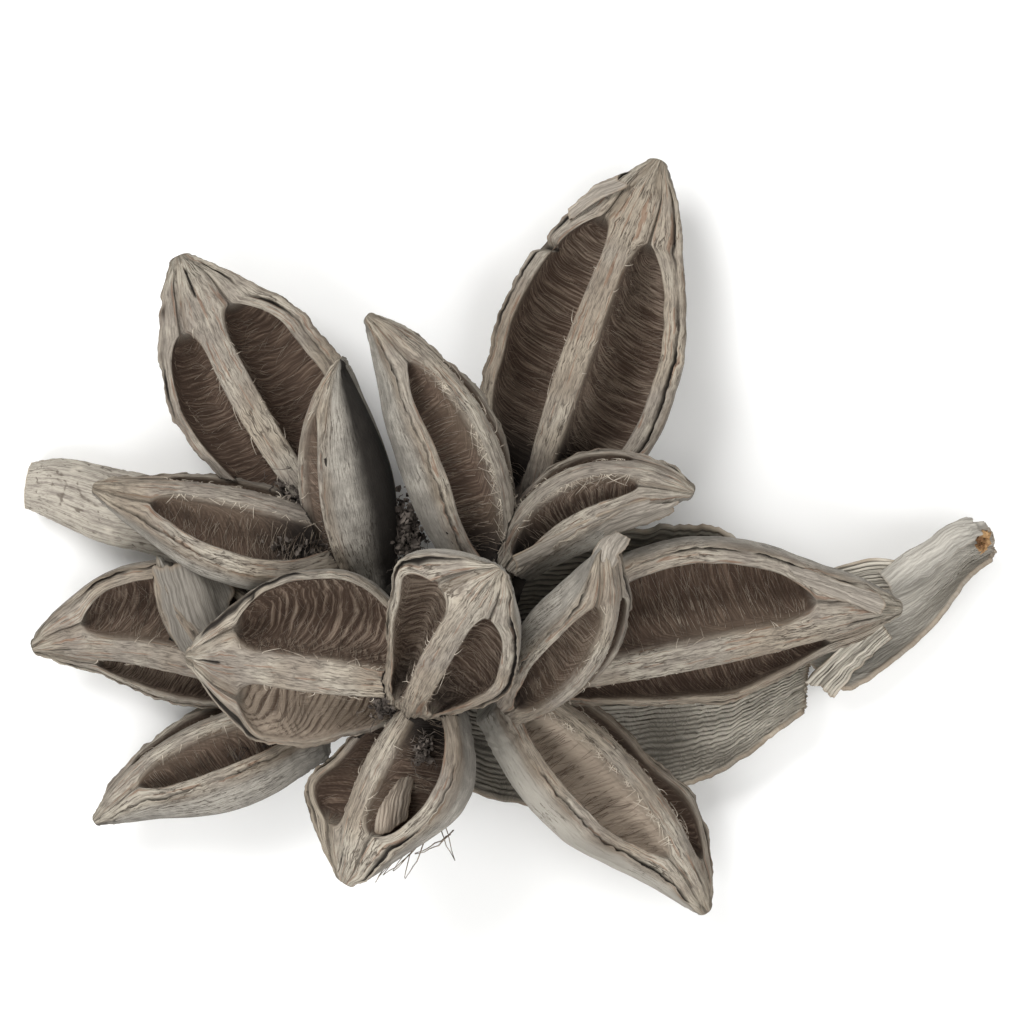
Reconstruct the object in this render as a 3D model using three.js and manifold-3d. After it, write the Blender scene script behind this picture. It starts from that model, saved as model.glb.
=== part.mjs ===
// Dried seed head of a giant bird-of-paradise plant, known as a star pod.
// Five woody capsules have split into three valves each. Every valve is a pointed boat with two seed
// chambers either side of a raised septum. The capsules sit on stubby cores in the torn, ribbed
// spathe, whose folded beak points right, and the cut flower stalk leaves on the left.
// Millimetres, +Z up. The head lies on its spathe, with the origin below the middle of its box.
import * as THREE from "three";
import Module from "manifold-3d";

const wasm = await Module();
wasm.setup();

const clearance = 0.35; // air left between neighbouring pieces
const tipRadius = 1.7; // every valve ends in a blunt point of about this radius
const wallThickness = 1.9; // woody wall between a chamber and the outside
const septumThickness = 1.6; // wall between the two chambers of a valve
const ridgeCrown = 0.9; // how far the top of the septum bulges
const floorHeight = 0; // what reaches below this is worn flat

// One entry for each valve, the ones in front first.
// base, tip: ends of the line midway between the rims. sway, arch: how far that line bows to the right
// and up. roll: how far the open face leans to the right, in degrees. left, right: distance from the
// line to each rim at a quarter, a half and three quarters of the length. depth: from the rims to the
// back. ridge: height of the septum above the rims. crown: width of the septum's top. rim: width of
// the flat rim. mouth: where the left and the right chamber end, as shares of the length.
const valves = {
  valve_c3: {
    base: [-28, -47, 70], tip: [-4, -9, 112], sway: -2, arch: 0, roll: 4,
    left: [13, 18, 22], right: [20, 21, 16], depth: 18, ridge: 7, crown: 7, rim: 4, mouth: [0.76, 0.78],
  },
  valve_c1: {
    base: [-26, -40, 66], tip: [-89, -33, 60], sway: 2, arch: 0, roll: -18,
    left: [20, 25, 22], right: [24, 27, 19], depth: 21, ridge: 10.5, crown: 9, rim: 4.5, mouth: [0.79, 0.8],
  },
  valve_c2: {
    base: [-22, -43, 66], tip: [-47, -94, 58], sway: 1, arch: 3, roll: 38,
    left: [20, 20, 14], right: [15, 20, 25], depth: 24, ridge: 8, crown: 6, rim: 4, mouth: [0.72, 0.8],
  },
  valve_d3: {
    base: [0, -48, 54], tip: [25, -4, 94], sway: 7, arch: -2, roll: 52,
    left: [14, 17, 12], right: [14, 16, 11], depth: 15, ridge: 8, crown: 5, rim: 3.5, mouth: [0.78, 0.75],
  },
  valve_a3: {
    base: [-2, -8, 50], tip: [49, 13, 60], sway: -11, arch: 0, roll: -52,
    left: [13, 15.5, 13], right: [13, 15.5, 12], depth: 15, ridge: 7, crown: 6, rim: 3.5, mouth: [0.75, 0.8],
  },
  valve_a2: {
    base: [-5, -12, 46], tip: [-39, 60.5, 64], sway: 8, arch: 1, roll: 56,
    left: [18, 20, 15], right: [18, 20, 14], depth: 18, ridge: 9, crown: 7, rim: 4, mouth: [0.83, 0.75],
  },
  valve_b2: {
    base: [-42, -15, 36], tip: [-48, 48, 62], sway: -5, arch: -3, roll: -98,
    left: [16, 17, 13], right: [18, 19, 12.5], depth: 16, ridge: 9, crown: 5, rim: 3.5, mouth: [0.7, 0.8],
  },
  valve_b3: {
    base: [-44, -2, 44], tip: [-116, 14, 36], sway: 0, arch: 0, roll: 52,
    left: [22, 22.5, 13], right: [16, 18, 13], depth: 14, ridge: 8, crown: 6, rim: 4, mouth: [0.78, 0.75],
  },
  valve_d1: {
    base: [8, -38, 44], tip: [108, -20, 34], sway: -4, arch: 0, roll: 35,
    left: [26, 28, 17], right: [21, 26, 17], depth: 22, ridge: 12, crown: 8, rim: 4.5, mouth: [0.77, 0.81],
  },
  valve_d2: {
    base: [-2, -42, 44], tip: [54.5, -104, 28], sway: -4.5, arch: -1, roll: -45,
    left: [16, 17, 19], right: [19, 20, 11], depth: 23, ridge: 8.5, crown: 7, rim: 4, mouth: [0.87, 0.78],
  },
  valve_a1: {
    base: [5, 5, 29.5], tip: [41, 105, 23], sway: -1, arch: 0, roll: -17,
    left: [24, 28, 22], right: [26, 28, 19.5], depth: 26, ridge: 9, crown: 7, rim: 6, mouth: [0.82, 0.79],
  },
  valve_b1: {
    base: [-50, 2, 32], tip: [-93, 78, 26], sway: -3, arch: 2, roll: -4,
    left: [16, 20, 17], right: [26, 28, 21], depth: 21, ridge: 8, crown: 7, rim: 5, mouth: [0.78, 0.8],
  },
  valve_e3: {
    base: [-81, -38, 28], tip: [-99, -7, 38], sway: -3, arch: 0, roll: -85,
    left: [10, 12, 9], right: [12, 14, 9], depth: 14, ridge: 4, crown: 4, rim: 3, mouth: [0.7, 0.7],
  },
  valve_e1: {
    base: [-63, -43, 30], tip: [-134, -31, 20], sway: 9, arch: 0, roll: -31,
    left: [18, 20.5, 15], right: [22, 23.5, 17], depth: 16, ridge: 11.5, crown: 7, rim: 4, mouth: [0.79, 0.81],
  },
  valve_e2: {
    base: [-53, -51, 32], tip: [-117, -79, 20], sway: 6, arch: 0, roll: 58,
    left: [18, 19, 13], right: [18, 20, 14], depth: 19, ridge: 6.5, crown: 6, rim: 4, mouth: [0.78, 0.78],
  },
};

// The cut flower stalk, from its end on the left to where it dies out below the capsules.
const stalkRows = [
  { at: [-137, 14.5, 8.5], half: 6.5 },
  { at: [-129, 13.5, 9.5], half: 8.8 },
  { at: [-114, 8.7, 10.2], half: 10.6 },
  { at: [-98, 5, 10.6], half: 10.9 },
  { at: [-75, -3, 12], half: 11.5 },
  { at: [-50, -15, 14], half: 11.5 },
  { at: [-22, -27, 17], half: 9.5 },
  { at: [4, -32, 18], half: 7 },
];
const barkRidges = 7; // lengthwise ridges round a stalk
const barkDepth = 0.03; // their height as a share of its half width
const stalkEndReach = 0.8; // how far its ends bulge
const stalkFacets = { sides: 24, steps: 14 };
const coreFacets = { sides: 12, steps: 4 };

// A stubby core carries each capsule, from the stalk up to where its three valves meet.
const cores = {
  core_a: [{ at: [-8, -26, 18], half: 7 }, { at: [-6, -16, 30], half: 8 }, { at: [-3, -10, 42], half: 7 }],
  core_b: [{ at: [-56, -13, 15], half: 8 }, { at: [-50, -8, 26], half: 9 }, { at: [-46, -5, 38], half: 7 }],
  core_c: [{ at: [-30, -24, 18], half: 8 }, { at: [-27, -34, 38], half: 9 }, { at: [-25, -42, 62], half: 7 }],
  core_d: [{ at: [-2, -32, 20], half: 7 }, { at: [1, -38, 32], half: 8 }, { at: [3, -42, 46], half: 6 }],
  core_e: [{ at: [-50, -22, 15], half: 7 }, { at: [-58, -34, 22], half: 9 }, { at: [-62, -42, 28], half: 7 }],
};

// The torn spathe is a shallow ribbed trough that folds up into a beak on the right.
const spatheStations = [
  { upper: [-50, -8, 18], keel: [-54, -24, 5], lower: [-50, -44, 14] },
  { upper: [-24, -8, 22], keel: [-26, -34, 2], lower: [-26, -64, 14] },
  { upper: [2, 0, 30], keel: [2, -36, 1.4], lower: [0, -76, 14] },
  { upper: [36, 3, 33], keel: [38, -36, 1.4], lower: [36, -73.5, 16] },
  { upper: [58, 3, 32], keel: [60, -34, 1.8], lower: [58, -67, 18] },
  { upper: [70, -7, 29], keel: [80, -30, 4], lower: [80, -51, 20] },
  { upper: [92, -10, 25], keel: [91, -28, 5], lower: [89, -45, 15] },
  { upper: [105, -7, 25], keel: [102, -24, 5], lower: [98, -42, 13] },
  { upper: [114, -7, 26], keel: [114, -18, 5], lower: [110, -33.5, 12] },
  { upper: [122, 0, 24], keel: [124, -9, 6], lower: [121, -22.5, 12] },
  { upper: [129, 3, 20], keel: [131, -3, 7], lower: [129, -12, 12] },
  { upper: [134, 4, 16], keel: [137.5, -1, 8], lower: [136, -6, 11] },
];
const spatheThickness = 2.2;
const spatheRibs = 16; // drawn coarser than life
const ribHeight = 0.7;
const spatheRows = 14; // cross-sections along it

// Where the widths and heights of a valve stand at the base and at the tip, as shares of the middle.
const neckShare = 0.42;
const depthShares = [0.6, 0.95, 1, 0.72, 0.08];
const ridgeShares = [0.5, 0.95, 1, 0.72, 0.1];
const chamberStart = 0.06; // share of the length where both chambers begin
const chamberRows = [0, 0.03, 0.12, 0.3, 0.5, 0.68, 0.82, 0.91, 0.97, 1];
const roundedShare = 0.32; // share of each half of a chamber that belongs to its round end
const shut = { wide: 0.14, deep: 0 }; // beyond its ends a chamber is a narrow, flat strip
const bowl = [[0.88, 0.42], [0.48, 0.86], [0.15, 0.5]]; // a chamber's width and depth, wall to septum
const chamberSteps = 4; // points across a chamber, between its two edges
const backSteps = 7; // facets across the rounded back
const tipRows = [0.35, 0.7, 1]; // cross-sections between the chambers' ends and the tip

const vector = (p) => new THREE.Vector3(...p);
const mix = THREE.MathUtils.lerp;
const mixPair = (a, b, t) => [mix(a[0], b[0], t), mix(a[1], b[1], t)];

// A smooth line through values at even steps from 0 to 1, steep at both ends.
function smoothAt(values, u) {
  const last = values.length - 1;
  const slopeAt = (k) => {
    if (k === 0) return 1.4 * (values[1] - values[0]);
    if (k === last) return 1.4 * (values[last] - values[last - 1]);
    return (values[k + 1] - values[k - 1]) / 2;
  };
  const k = Math.min(Math.floor(u * last), last - 1);
  const t = u * last - k;
  return (
    values[k] * (1 + 2 * t) * (1 - t) ** 2 +
    slopeAt(k) * t * (1 - t) ** 2 +
    values[k + 1] * t * t * (3 - 2 * t) +
    slopeAt(k + 1) * t * t * (t - 1)
  );
}

// The middle line of a valve, and its frame: along, out of the open face, and to the right.
function frameAt(valve, u) {
  const base = vector(valve.base);
  const tip = vector(valve.tip);
  const chord = tip.clone().sub(base);
  const up = new THREE.Vector3(0, 0, 1);
  const level = chord.clone().cross(up).normalize();
  const rise = level.clone().cross(chord).normalize();
  const bow = level.multiplyScalar(valve.sway).add(rise.multiplyScalar(valve.arch));
  const centre = base.lerp(tip, u).addScaledVector(bow, 4 * u * (1 - u));
  const along = chord.addScaledVector(bow, 4 * (1 - 2 * u)).normalize();
  const out = up.addScaledVector(along, -along.z).normalize();
  out.applyAxisAngle(along, THREE.MathUtils.degToRad(valve.roll));
  return { centre, along, out, right: along.clone().cross(out) };
}

// How far a chamber is open at u: its width and its depth, each as a share.
function chamberAt(u, end) {
  const across = Math.abs((2 * (u - chamberStart)) / (end - chamberStart) - 1);
  if (across >= 1) return shut;
  const intoEnd = Math.max(0, (across - 1) / roundedShare + 1);
  return { wide: Math.max(shut.wide, Math.sqrt(1 - intoEnd ** 2)), deep: Math.sqrt(1 - across ** 6) };
}

// A point of the chamber's bowl between the rim's inner edge and the septum's edge.
function bowlPoint(controls, t) {
  const points = controls.map(([b, n]) => new THREE.Vector3(b, n, 0));
  const p = new THREE.CatmullRomCurve3(points, false, "centripetal").getPoint(t);
  return [p.x, p.y];
}

// Half of the open face, from the rim to the septum's edge, as points across and out.
function halfFace(valve, side, u, filled) {
  const width = halfWidth(valve[side], u);
  const depth = depthAt(valve, u);
  const rimEdge = [width, 0];
  const septumEdge = [Math.min(valve.crown / 2, 0.35 * width), heightAt(valve, u)];
  const reach = Math.hypot(rimEdge[0] - septumEdge[0], septumEdge[1]);
  const { wide, deep } = filled ? shut : chamberAt(u, valve.mouth[side === "left" ? 0 : 1]);
  const rimShare = Math.min(0.4, valve.rim / reach);
  const middle = (rimShare + 1) / 2;
  const outer = mixPair(rimEdge, septumEdge, mix(middle, rimShare, wide));
  const inner = mixPair(rimEdge, septumEdge, mix(middle, 0.97, wide));
  const innerWidth = Math.max(0.5 * width, width - wallThickness);
  const innerDepth = Math.max(0.4 * depth, depth - wallThickness);
  const controls = bowl.map(([b, n]) => [b * innerWidth, -n * innerDepth]);
  controls[2][0] += septumThickness / 2;
  const points = [rimEdge, outer];
  for (let k = 1; k <= chamberSteps; k++) {
    const t = k / (chamberSteps + 1);
    points.push(mixPair(mixPair(outer, inner, t), bowlPoint([outer, ...controls, inner], t), deep));
  }
  points.push(inner, septumEdge);
  return points;
}

const halfWidth = (side, u) => smoothAt([neckShare * side[1], ...side, tipRadius], u);
const depthAt = (valve, u) => smoothAt(depthShares, u) * valve.depth + 0.5;
const heightAt = (valve, u) => smoothAt(ridgeShares, u) * valve.ridge;

// One closed cross-section of a valve in space, reaching uLeft on its left and uRight on its right.
// A filled one has no chambers.
function valveRing(valve, [uLeft, uRight], filled, grow) {
  const place = (u, b, n) => {
    const { centre, out, right } = frameAt(valve, u);
    const scale = 1 + grow / (Math.hypot(b, n) || 1);
    return centre.addScaledVector(right, b * scale).addScaledVector(out, n * scale);
  };
  const ring = halfFace(valve, "right", uRight, filled).map(([b, n]) => place(uRight, b, n));
  const uRidge = (uLeft + uRight) / 2;
  const height = heightAt(valve, uRidge);
  ring.push(place(uRidge, 0, height + Math.min(ridgeCrown, height / 2)));
  ring.push(...halfFace(valve, "left", uLeft, filled).map(([b, n]) => place(uLeft, -b, n)).reverse());
  for (let k = 1; k < backSteps; k++) {
    const angle = Math.PI * (1 + k / backSteps);
    const u = mix(uLeft, uRight, k / backSteps);
    const width = halfWidth(Math.cos(angle) < 0 ? valve.left : valve.right, u);
    ring.push(place(u, Math.cos(angle) * width, Math.sin(angle) * depthAt(valve, u)));
  }
  return ring;
}

// A closed surface through rings of equally many points, each end drawn together to a point.
function loft(rings, endReach = 0) {
  const count = rings[0].length;
  const middles = rings.map((ring) => {
    const sum = ring.reduce((total, p) => total.add(p), new THREE.Vector3());
    return sum.divideScalar(count);
  });
  const ends = [
    middles[0].clone().add(middles[0].clone().sub(middles[1]).setLength(endReach)),
    middles.at(-1).clone().add(middles.at(-1).clone().sub(middles.at(-2)).setLength(endReach)),
  ];
  const points = [...rings.flat(), ...ends];
  const faces = [];
  for (let row = 0; row + 1 < rings.length; row++) {
    for (let k = 0; k < count; k++) {
      const a = row * count + k;
      const b = row * count + ((k + 1) % count);
      faces.push([a, b, b + count], [a, b + count, a + count]);
    }
  }
  const lastRow = (rings.length - 1) * count;
  for (let k = 0; k < count; k++) {
    const next = (k + 1) % count;
    faces.push([next, k, points.length - 2]);
    faces.push([lastRow + k, lastRow + next, points.length - 1]);
  }
  return solidFrom(points, faces);
}

// A manifold-3d solid from points and triangles, turned the right way out.
function solidFrom(points, faces) {
  const vertProperties = new Float32Array(points.flatMap((p) => p.toArray()));
  const build = (triangles) => {
    const triVerts = new Uint32Array(triangles.flat());
    return new wasm.Manifold(new wasm.Mesh({ numProp: 3, vertProperties, triVerts }));
  };
  const solid = build(faces);
  return solid.volume() > 0 ? solid : build(faces.map(([a, b, c]) => [a, c, b]));
}

function geometryOf(solid) {
  const mesh = solid.getMesh();
  const position = new THREE.BufferAttribute(new Float32Array(mesh.vertProperties), 3);
  const geometry = new THREE.BufferGeometry().setAttribute("position", position);
  geometry.setIndex(new THREE.BufferAttribute(new Uint32Array(mesh.triVerts), 1));
  geometry.computeVertexNormals();
  return geometry;
}

const largestBody = (solid) => solid.decompose().sort((a, b) => b.volume() - a.volume())[0];

function valveSolid(valve, filled = false, grow = 0) {
  const rows = [[0, 0], [chamberStart / 2, chamberStart / 2]];
  rows.push(...chamberRows.map((share) => valve.mouth.map((end) => mix(chamberStart, end, share))));
  rows.push(...tipRows.map((share) => valve.mouth.map((end) => mix(end, 1, share))));
  return loft(rows.map((pair) => valveRing(valve, pair, filled, grow)), tipRadius / 2 + grow);
}

// A ridged tube of varying size along a line: each row has its centre and its half width.
function stalk(rows, { sides, steps }, grow = 0) {
  const path = new THREE.CatmullRomCurve3(rows.map((row) => vector(row.at)));
  const sizes = new THREE.CatmullRomCurve3(rows.map((row) => new THREE.Vector3(row.half, 0, 0)));
  const rings = [];
  for (let k = 0; k <= steps; k++) {
    const t = k / steps;
    const side = new THREE.Vector3(0, 0, 1).cross(path.getTangent(t)).normalize();
    const up = path.getTangent(t).cross(side);
    const ring = [];
    for (let n = 0; n < sides; n++) {
      const angle = (2 * Math.PI * n) / sides;
      const half = sizes.getPoint(t).x * (1 + barkDepth * Math.cos(barkRidges * angle)) + grow;
      const point = path.getPoint(t).addScaledVector(side, Math.cos(angle) * half);
      ring.push(point.addScaledVector(up, Math.sin(angle) * half));
    }
    rings.push(ring);
  }
  return loft(rings, stalkEndReach + grow);
}

// A trough of even thickness through stations of upper edge, keel and lower edge, ribbed lengthwise.
function trough(stations, ribs, rows) {
  const [upper, keel, lower] = ["upper", "keel", "lower"].map(
    (line) => new THREE.CatmullRomCurve3(stations.map((station) => vector(station[line]))),
  );
  const columns = 2 * ribs;
  const inside = (t, s) => {
    const [a, b, c] = [upper.getPoint(t), keel.getPoint(t), lower.getPoint(t)];
    const control = b.multiplyScalar(2).addScaledVector(a, -0.5).addScaledVector(c, -0.5);
    return new THREE.QuadraticBezierCurve3(a, control, c).getPoint(s);
  };
  const normal = (t, s) => {
    const across = inside(t, Math.min(1, s + 0.01)).sub(inside(t, Math.max(0, s - 0.01)));
    const along = inside(Math.min(1, t + 0.01), s).sub(inside(Math.max(0, t - 0.01), s));
    return along.cross(across).normalize();
  };
  const points = [];
  for (const depth of [0, spatheThickness]) {
    for (let row = 0; row <= rows; row++) {
      for (let column = 0; column <= columns; column++) {
        const [t, s] = [row / rows, column / columns];
        const rib = column % 2 === 0 ? ribHeight : 0;
        points.push(inside(t, s).addScaledVector(normal(t, s), depth - rib));
      }
    }
  }
  const at = (layer, row, column) => (layer * (rows + 1) + row) * (columns + 1) + column;
  const faces = [];
  const quad = (a, b, c, d) => faces.push([a, b, c], [a, c, d]);
  for (let row = 0; row < rows; row++) {
    for (let column = 0; column < columns; column++) {
      quad(at(0, row, column), at(0, row, column + 1), at(0, row + 1, column + 1), at(0, row + 1, column));
      quad(at(1, row, column), at(1, row + 1, column), at(1, row + 1, column + 1), at(1, row, column + 1));
    }
    quad(at(0, row, 0), at(0, row + 1, 0), at(1, row + 1, 0), at(1, row, 0));
    quad(at(0, row, columns), at(1, row, columns), at(1, row + 1, columns), at(0, row + 1, columns));
  }
  for (let column = 0; column < columns; column++) {
    quad(at(0, 0, column), at(1, 0, column), at(1, 0, column + 1), at(0, 0, column + 1));
    quad(at(0, rows, column), at(0, rows, column + 1), at(1, rows, column + 1), at(1, rows, column));
  }
  return solidFrom(points, faces);
}

const colours = {
  valve: 0x9a8f82,
  core: 0x5d5147,
  spathe: 0x817b70,
  stalk: 0xb0a48f,
};

const pieces = [];

const add = (name, solid, colour) => pieces.push({ name, solid: largestBody(solid), colour });
const aboveFloor = (solid) => solid.trimByPlane([0, 0, 1], floorHeight);

// Each valve makes room for the ones in front of it, and everything else for all the valves.
const ahead = [];
const without = (solid, others) => others.reduce((rest, other) => rest.subtract(other), solid);
for (const [name, valve] of Object.entries(valves)) {
  add(name, aboveFloor(without(valveSolid(valve), ahead)), colours.valve);
  ahead.push(valveSolid(valve, true, clearance));
}

const stalks = [["peduncle", stalkRows, stalkFacets, colours.stalk]];
for (const [name, rows] of Object.entries(cores)) stalks.push([name, rows, coreFacets, colours.core]);
for (const [name, rows, facets, colour] of stalks) {
  add(name, aboveFloor(without(stalk(rows, facets), ahead)), colour);
  ahead.push(stalk(rows, facets, clearance));
}
add("spathe", aboveFloor(without(trough(spatheStations, spatheRibs, spatheRows), ahead)), colours.spathe);

const star = new THREE.Group();
for (const { name, solid, colour } of pieces) {
  const material = new THREE.MeshStandardMaterial({ color: colour, roughness: 0.85, metalness: 0 });
  const mesh = new THREE.Mesh(geometryOf(solid), material);
  mesh.name = name;
  star.add(mesh);
}

export default star;
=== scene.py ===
# Dried seed head of a giant bird-of-paradise plant, a star pod, seen from straight above.
# The woody valves, the torn spathe and the cut stalk of the CAD frame are built again here with their
# hairs, torn skin, splits and fibres. Lengths in this script are millimetres until a mesh is made.
import math
import bmesh
import bpy
import numpy as np
from mathutils import Euler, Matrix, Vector
from mathutils.bvhtree import BVHTree


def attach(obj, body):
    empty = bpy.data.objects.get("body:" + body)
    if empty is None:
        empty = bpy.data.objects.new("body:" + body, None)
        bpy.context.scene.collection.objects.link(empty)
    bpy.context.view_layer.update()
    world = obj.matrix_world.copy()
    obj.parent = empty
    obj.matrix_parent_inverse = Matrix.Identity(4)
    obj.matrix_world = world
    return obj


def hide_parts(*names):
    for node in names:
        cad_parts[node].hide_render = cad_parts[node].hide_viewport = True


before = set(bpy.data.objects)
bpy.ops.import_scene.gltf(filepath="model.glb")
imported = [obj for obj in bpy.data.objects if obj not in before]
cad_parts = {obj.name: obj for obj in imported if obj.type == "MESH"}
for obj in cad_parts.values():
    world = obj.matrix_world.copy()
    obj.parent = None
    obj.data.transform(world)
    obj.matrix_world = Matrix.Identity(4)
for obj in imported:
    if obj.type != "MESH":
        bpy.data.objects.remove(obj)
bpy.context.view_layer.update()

mm = 0.001


# The camera looks straight down, as in the photograph.
camera = {"above": 2400.0, "northing": 7.14, "viewWidth": 286.7, "atHeight": 40.0, "sensor": 36.0}


def addCamera():
    data = bpy.data.cameras.new("camera")
    data.sensor_width = camera["sensor"]
    data.lens = camera["sensor"] * (camera["above"] - camera["atHeight"]) / camera["viewWidth"]
    item = bpy.data.objects.new("camera", data)
    item.location = (0, camera["northing"] * mm, camera["above"] * mm)
    bpy.context.scene.collection.objects.link(item)
    bpy.context.scene.camera = item


addCamera()
print("camera set")


# Small tools on arrays of points
def mix(a, b, share):
    return a + (b - a) * share


def unit(v):
    return v / np.maximum(np.linalg.norm(v, axis=-1, keepdims=True), 1e-9)


def ramp(x, low, high):
    t = np.clip((x - low) / (high - low), 0, 1)
    return t * t * (3 - 2 * t)


def bump(x, centre, halfWidth):
    return np.exp(-(((x - centre) / halfWidth) ** 2))


def hashed(cell):
    turned = cell @ np.array([127.1, 311.7, 74.7])[: cell.shape[-1]]
    return np.modf(np.abs(np.sin(turned)) * 43758.5453)[0]


def noiseAt(*axes, seed=0):
    # smooth noise from -1 to 1 whose features are about one unit wide
    points = np.stack(np.broadcast_arrays(*axes), -1) + seed * 19.37
    cell = np.floor(points)
    s = points - cell
    s = s * s * (3 - 2 * s)
    total = 0
    for corner in np.ndindex(*(2,) * points.shape[-1]):
        weight = np.prod(np.where(np.array(corner) == 1, s, 1 - s), axis=-1)
        total = total + weight * hashed(cell + np.array(corner))
    return 2 * total - 1


def roughAt(*axes, seed=0, octaves=3):
    total = 0
    for k in range(octaves):
        total = total + noiseAt(*[axis * 2.03**k for axis in axes], seed=seed + k) / 2**k
    return total / (2 - 0.5 ** (octaves - 1))


endSlope = 1.4
# Where the noise and the random draws of each kind of piece start
seeds = {
    "valve": 31, "left": 11, "hair": 7, "clumps": 91, "threads": 17, "stalk": 500, "nextStalk": 9,
    "trough": 410, "troughEnd": 420, "spathe": 400, "beakEdge": 430, "beak": 440, "torn": 600,
    "nextTorn": 60, "tornSheet": 50,
}


def smoothAt(values, u):
    # a smooth line through values at even steps from 0 to 1, steep at both ends
    values = np.asarray(values, float)
    last = len(values) - 1
    slopes = np.gradient(values)
    slopes[0] = endSlope * (values[1] - values[0])
    slopes[-1] = endSlope * (values[-1] - values[-2])
    k = np.clip(np.floor(u * last).astype(int), 0, last - 1)
    t = u * last - k
    rise = values[k] * (1 + 2 * t) * (1 - t) ** 2 + slopes[k] * t * (1 - t) ** 2
    return rise + values[k + 1] * t * t * (3 - 2 * t) + slopes[k + 1] * t * t * (t - 1)


def knotGap(a, b):
    return np.sqrt(np.maximum(np.linalg.norm(b - a, axis=-1), 1e-6))[..., None]


def curveAt(points, t):
    # centripetal curves through points (count, n, axes), at the shares t (m, n)
    points = np.concatenate([2 * points[:1] - points[1:2], points, 2 * points[-1:] - points[-2:-1]])
    place = np.clip(t, 0, 1) * (len(points) - 3)
    k = np.clip(place.astype(int), 0, len(points) - 4)
    s = (place - k)[..., None]
    p0, p1, p2, p3 = (np.take_along_axis(points, (k + j)[..., None], axis=0) for j in range(4))
    d0, d1, d2 = knotGap(p0, p1), knotGap(p1, p2), knotGap(p2, p3)
    leave = d1 * ((p1 - p0) / d0 - (p2 - p0) / (d0 + d1) + (p2 - p1) / d1)
    reach = d1 * ((p2 - p1) / d1 - (p3 - p1) / (d1 + d2) + (p3 - p2) / d2)
    square = -3 * p1 + 3 * p2 - 2 * leave - reach
    cube = 2 * p1 - 2 * p2 + leave + reach
    return p1 + leave * s + square * s**2 + cube * s**3


def lineAt(points, t):
    # one curve through points (count, axes) at the shares t
    return curveAt(np.asarray(points, float)[:, None], np.atleast_1d(t)[:, None])[:, 0]


def padded(values, before, after):
    # repeats the first and the last row
    first = np.repeat(values[:1], before, 0)
    last = np.repeat(values[-1:], after, 0)
    return np.concatenate([first, values, last])


def spread(points):
    # distance along the first axis of points from its start
    steps = np.linalg.norm(np.diff(points, axis=0), axis=-1)
    return np.concatenate([np.zeros_like(steps[:1]), np.cumsum(steps, axis=0)])


def normalsOf(points, ring):
    if ring:
        across = np.roll(points[:, :-1], -1, 1) - np.roll(points[:, :-1], 1, 1)
        across = np.concatenate([across, across[:, :1]], 1)
    else:
        across = np.gradient(points, axis=1)
    return unit(np.cross(across, np.gradient(points, axis=0)))


# Meshes
def sheetMesh(name, points, uv, marks):
    # a sheet with a vertex for each row and column of points, its surface map and its marks
    rows, columns = points.shape[:2]
    grid = bmesh.new()
    grid.loops.layers.uv.new("surface")
    bmesh.ops.create_grid(grid, x_segments=columns - 1, y_segments=rows - 1, size=1)
    mesh = bpy.data.meshes.new(name)
    grid.to_mesh(mesh)
    grid.free()
    mesh.vertices.foreach_set("co", (points * mm).astype(np.float32).ravel())
    if uv is not None:
        vertexOf = np.empty(len(mesh.loops), np.int32)
        mesh.loops.foreach_get("vertex_index", vertexOf)
        flat = uv.reshape(-1, 2)[vertexOf].astype(np.float32)
        mesh.uv_layers["surface"].data.foreach_set("uv", flat.ravel())
    for mark, values in (marks or {}).items():
        layer = mesh.attributes.new(mark, "FLOAT", "POINT")
        values = np.broadcast_to(values, (rows, columns)).astype(np.float32)
        layer.data.foreach_set("value", values.ravel())
    return mesh


def closeRing(grid, rows, columns):
    # joins the last column to the first and shuts the first and the last row to a point
    grid.verts.ensure_lookup_table()
    seam = {grid.verts[row * columns + columns - 1]: grid.verts[row * columns] for row in range(rows)}
    bmesh.ops.weld_verts(grid, targetmap=seam)
    grid.verts.ensure_lookup_table()
    width = columns - 1
    for edgeRow in (grid.verts[:width], grid.verts[-width:]):
        middle = sum((v.co for v in edgeRow), Vector()) / width
        bmesh.ops.pointmerge(grid, verts=edgeRow, merge_co=middle)
    if grid.calc_volume(signed=True) < 0:
        bmesh.ops.reverse_faces(grid, faces=grid.faces)


def gridPiece(name, points, uv=None, marks=None, closed=False):
    mesh = sheetMesh(name, points, uv, marks)
    grid = bmesh.new()
    grid.from_mesh(mesh)
    if closed:
        closeRing(grid, *points.shape[:2])
    for face in grid.faces:
        face.smooth = True
    grid.to_mesh(mesh)
    grid.free()
    return added(name, mesh)


def added(name, data):
    item = bpy.data.objects.new(name, data)
    bpy.context.scene.collection.objects.link(item)
    return item


def beyondEnds(points, middles, near, far):
    # adds a row shut to one point beyond each end of a ring
    start = middles[:1] - unit(middles[1:2] - middles[:1]) * near
    end = middles[-1:] + unit(middles[-1:] - middles[-2:-1]) * far
    return np.concatenate([start + 0 * points[:1], points, end + 0 * points[:1]])


def remade(item):
    # the same object with its modifiers applied
    bpy.context.view_layer.update()
    final = bpy.data.meshes.new_from_object(item.evaluated_get(bpy.context.evaluated_depsgraph_get()))
    item.modifiers.clear()
    item.data = final
    return item


def extent(item):
    places = np.empty(len(item.data.vertices) * 3, np.float32)
    item.data.vertices.foreach_get("co", places)
    places = places.reshape(-1, 3)
    return places.min(0), places.max(0)


def cutAway(item, cutters):
    low, high = extent(item)
    for cutter in cutters:
        cutLow, cutHigh = extent(cutter)
        if (cutLow < high).all() and (cutHigh > low).all():
            cut = item.modifiers.new("cut", "BOOLEAN")
            cut.operation = "DIFFERENCE"
            cut.solver = "MANIFOLD"
            cut.object = cutter
    return remade(item) if item.modifiers else item


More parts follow.
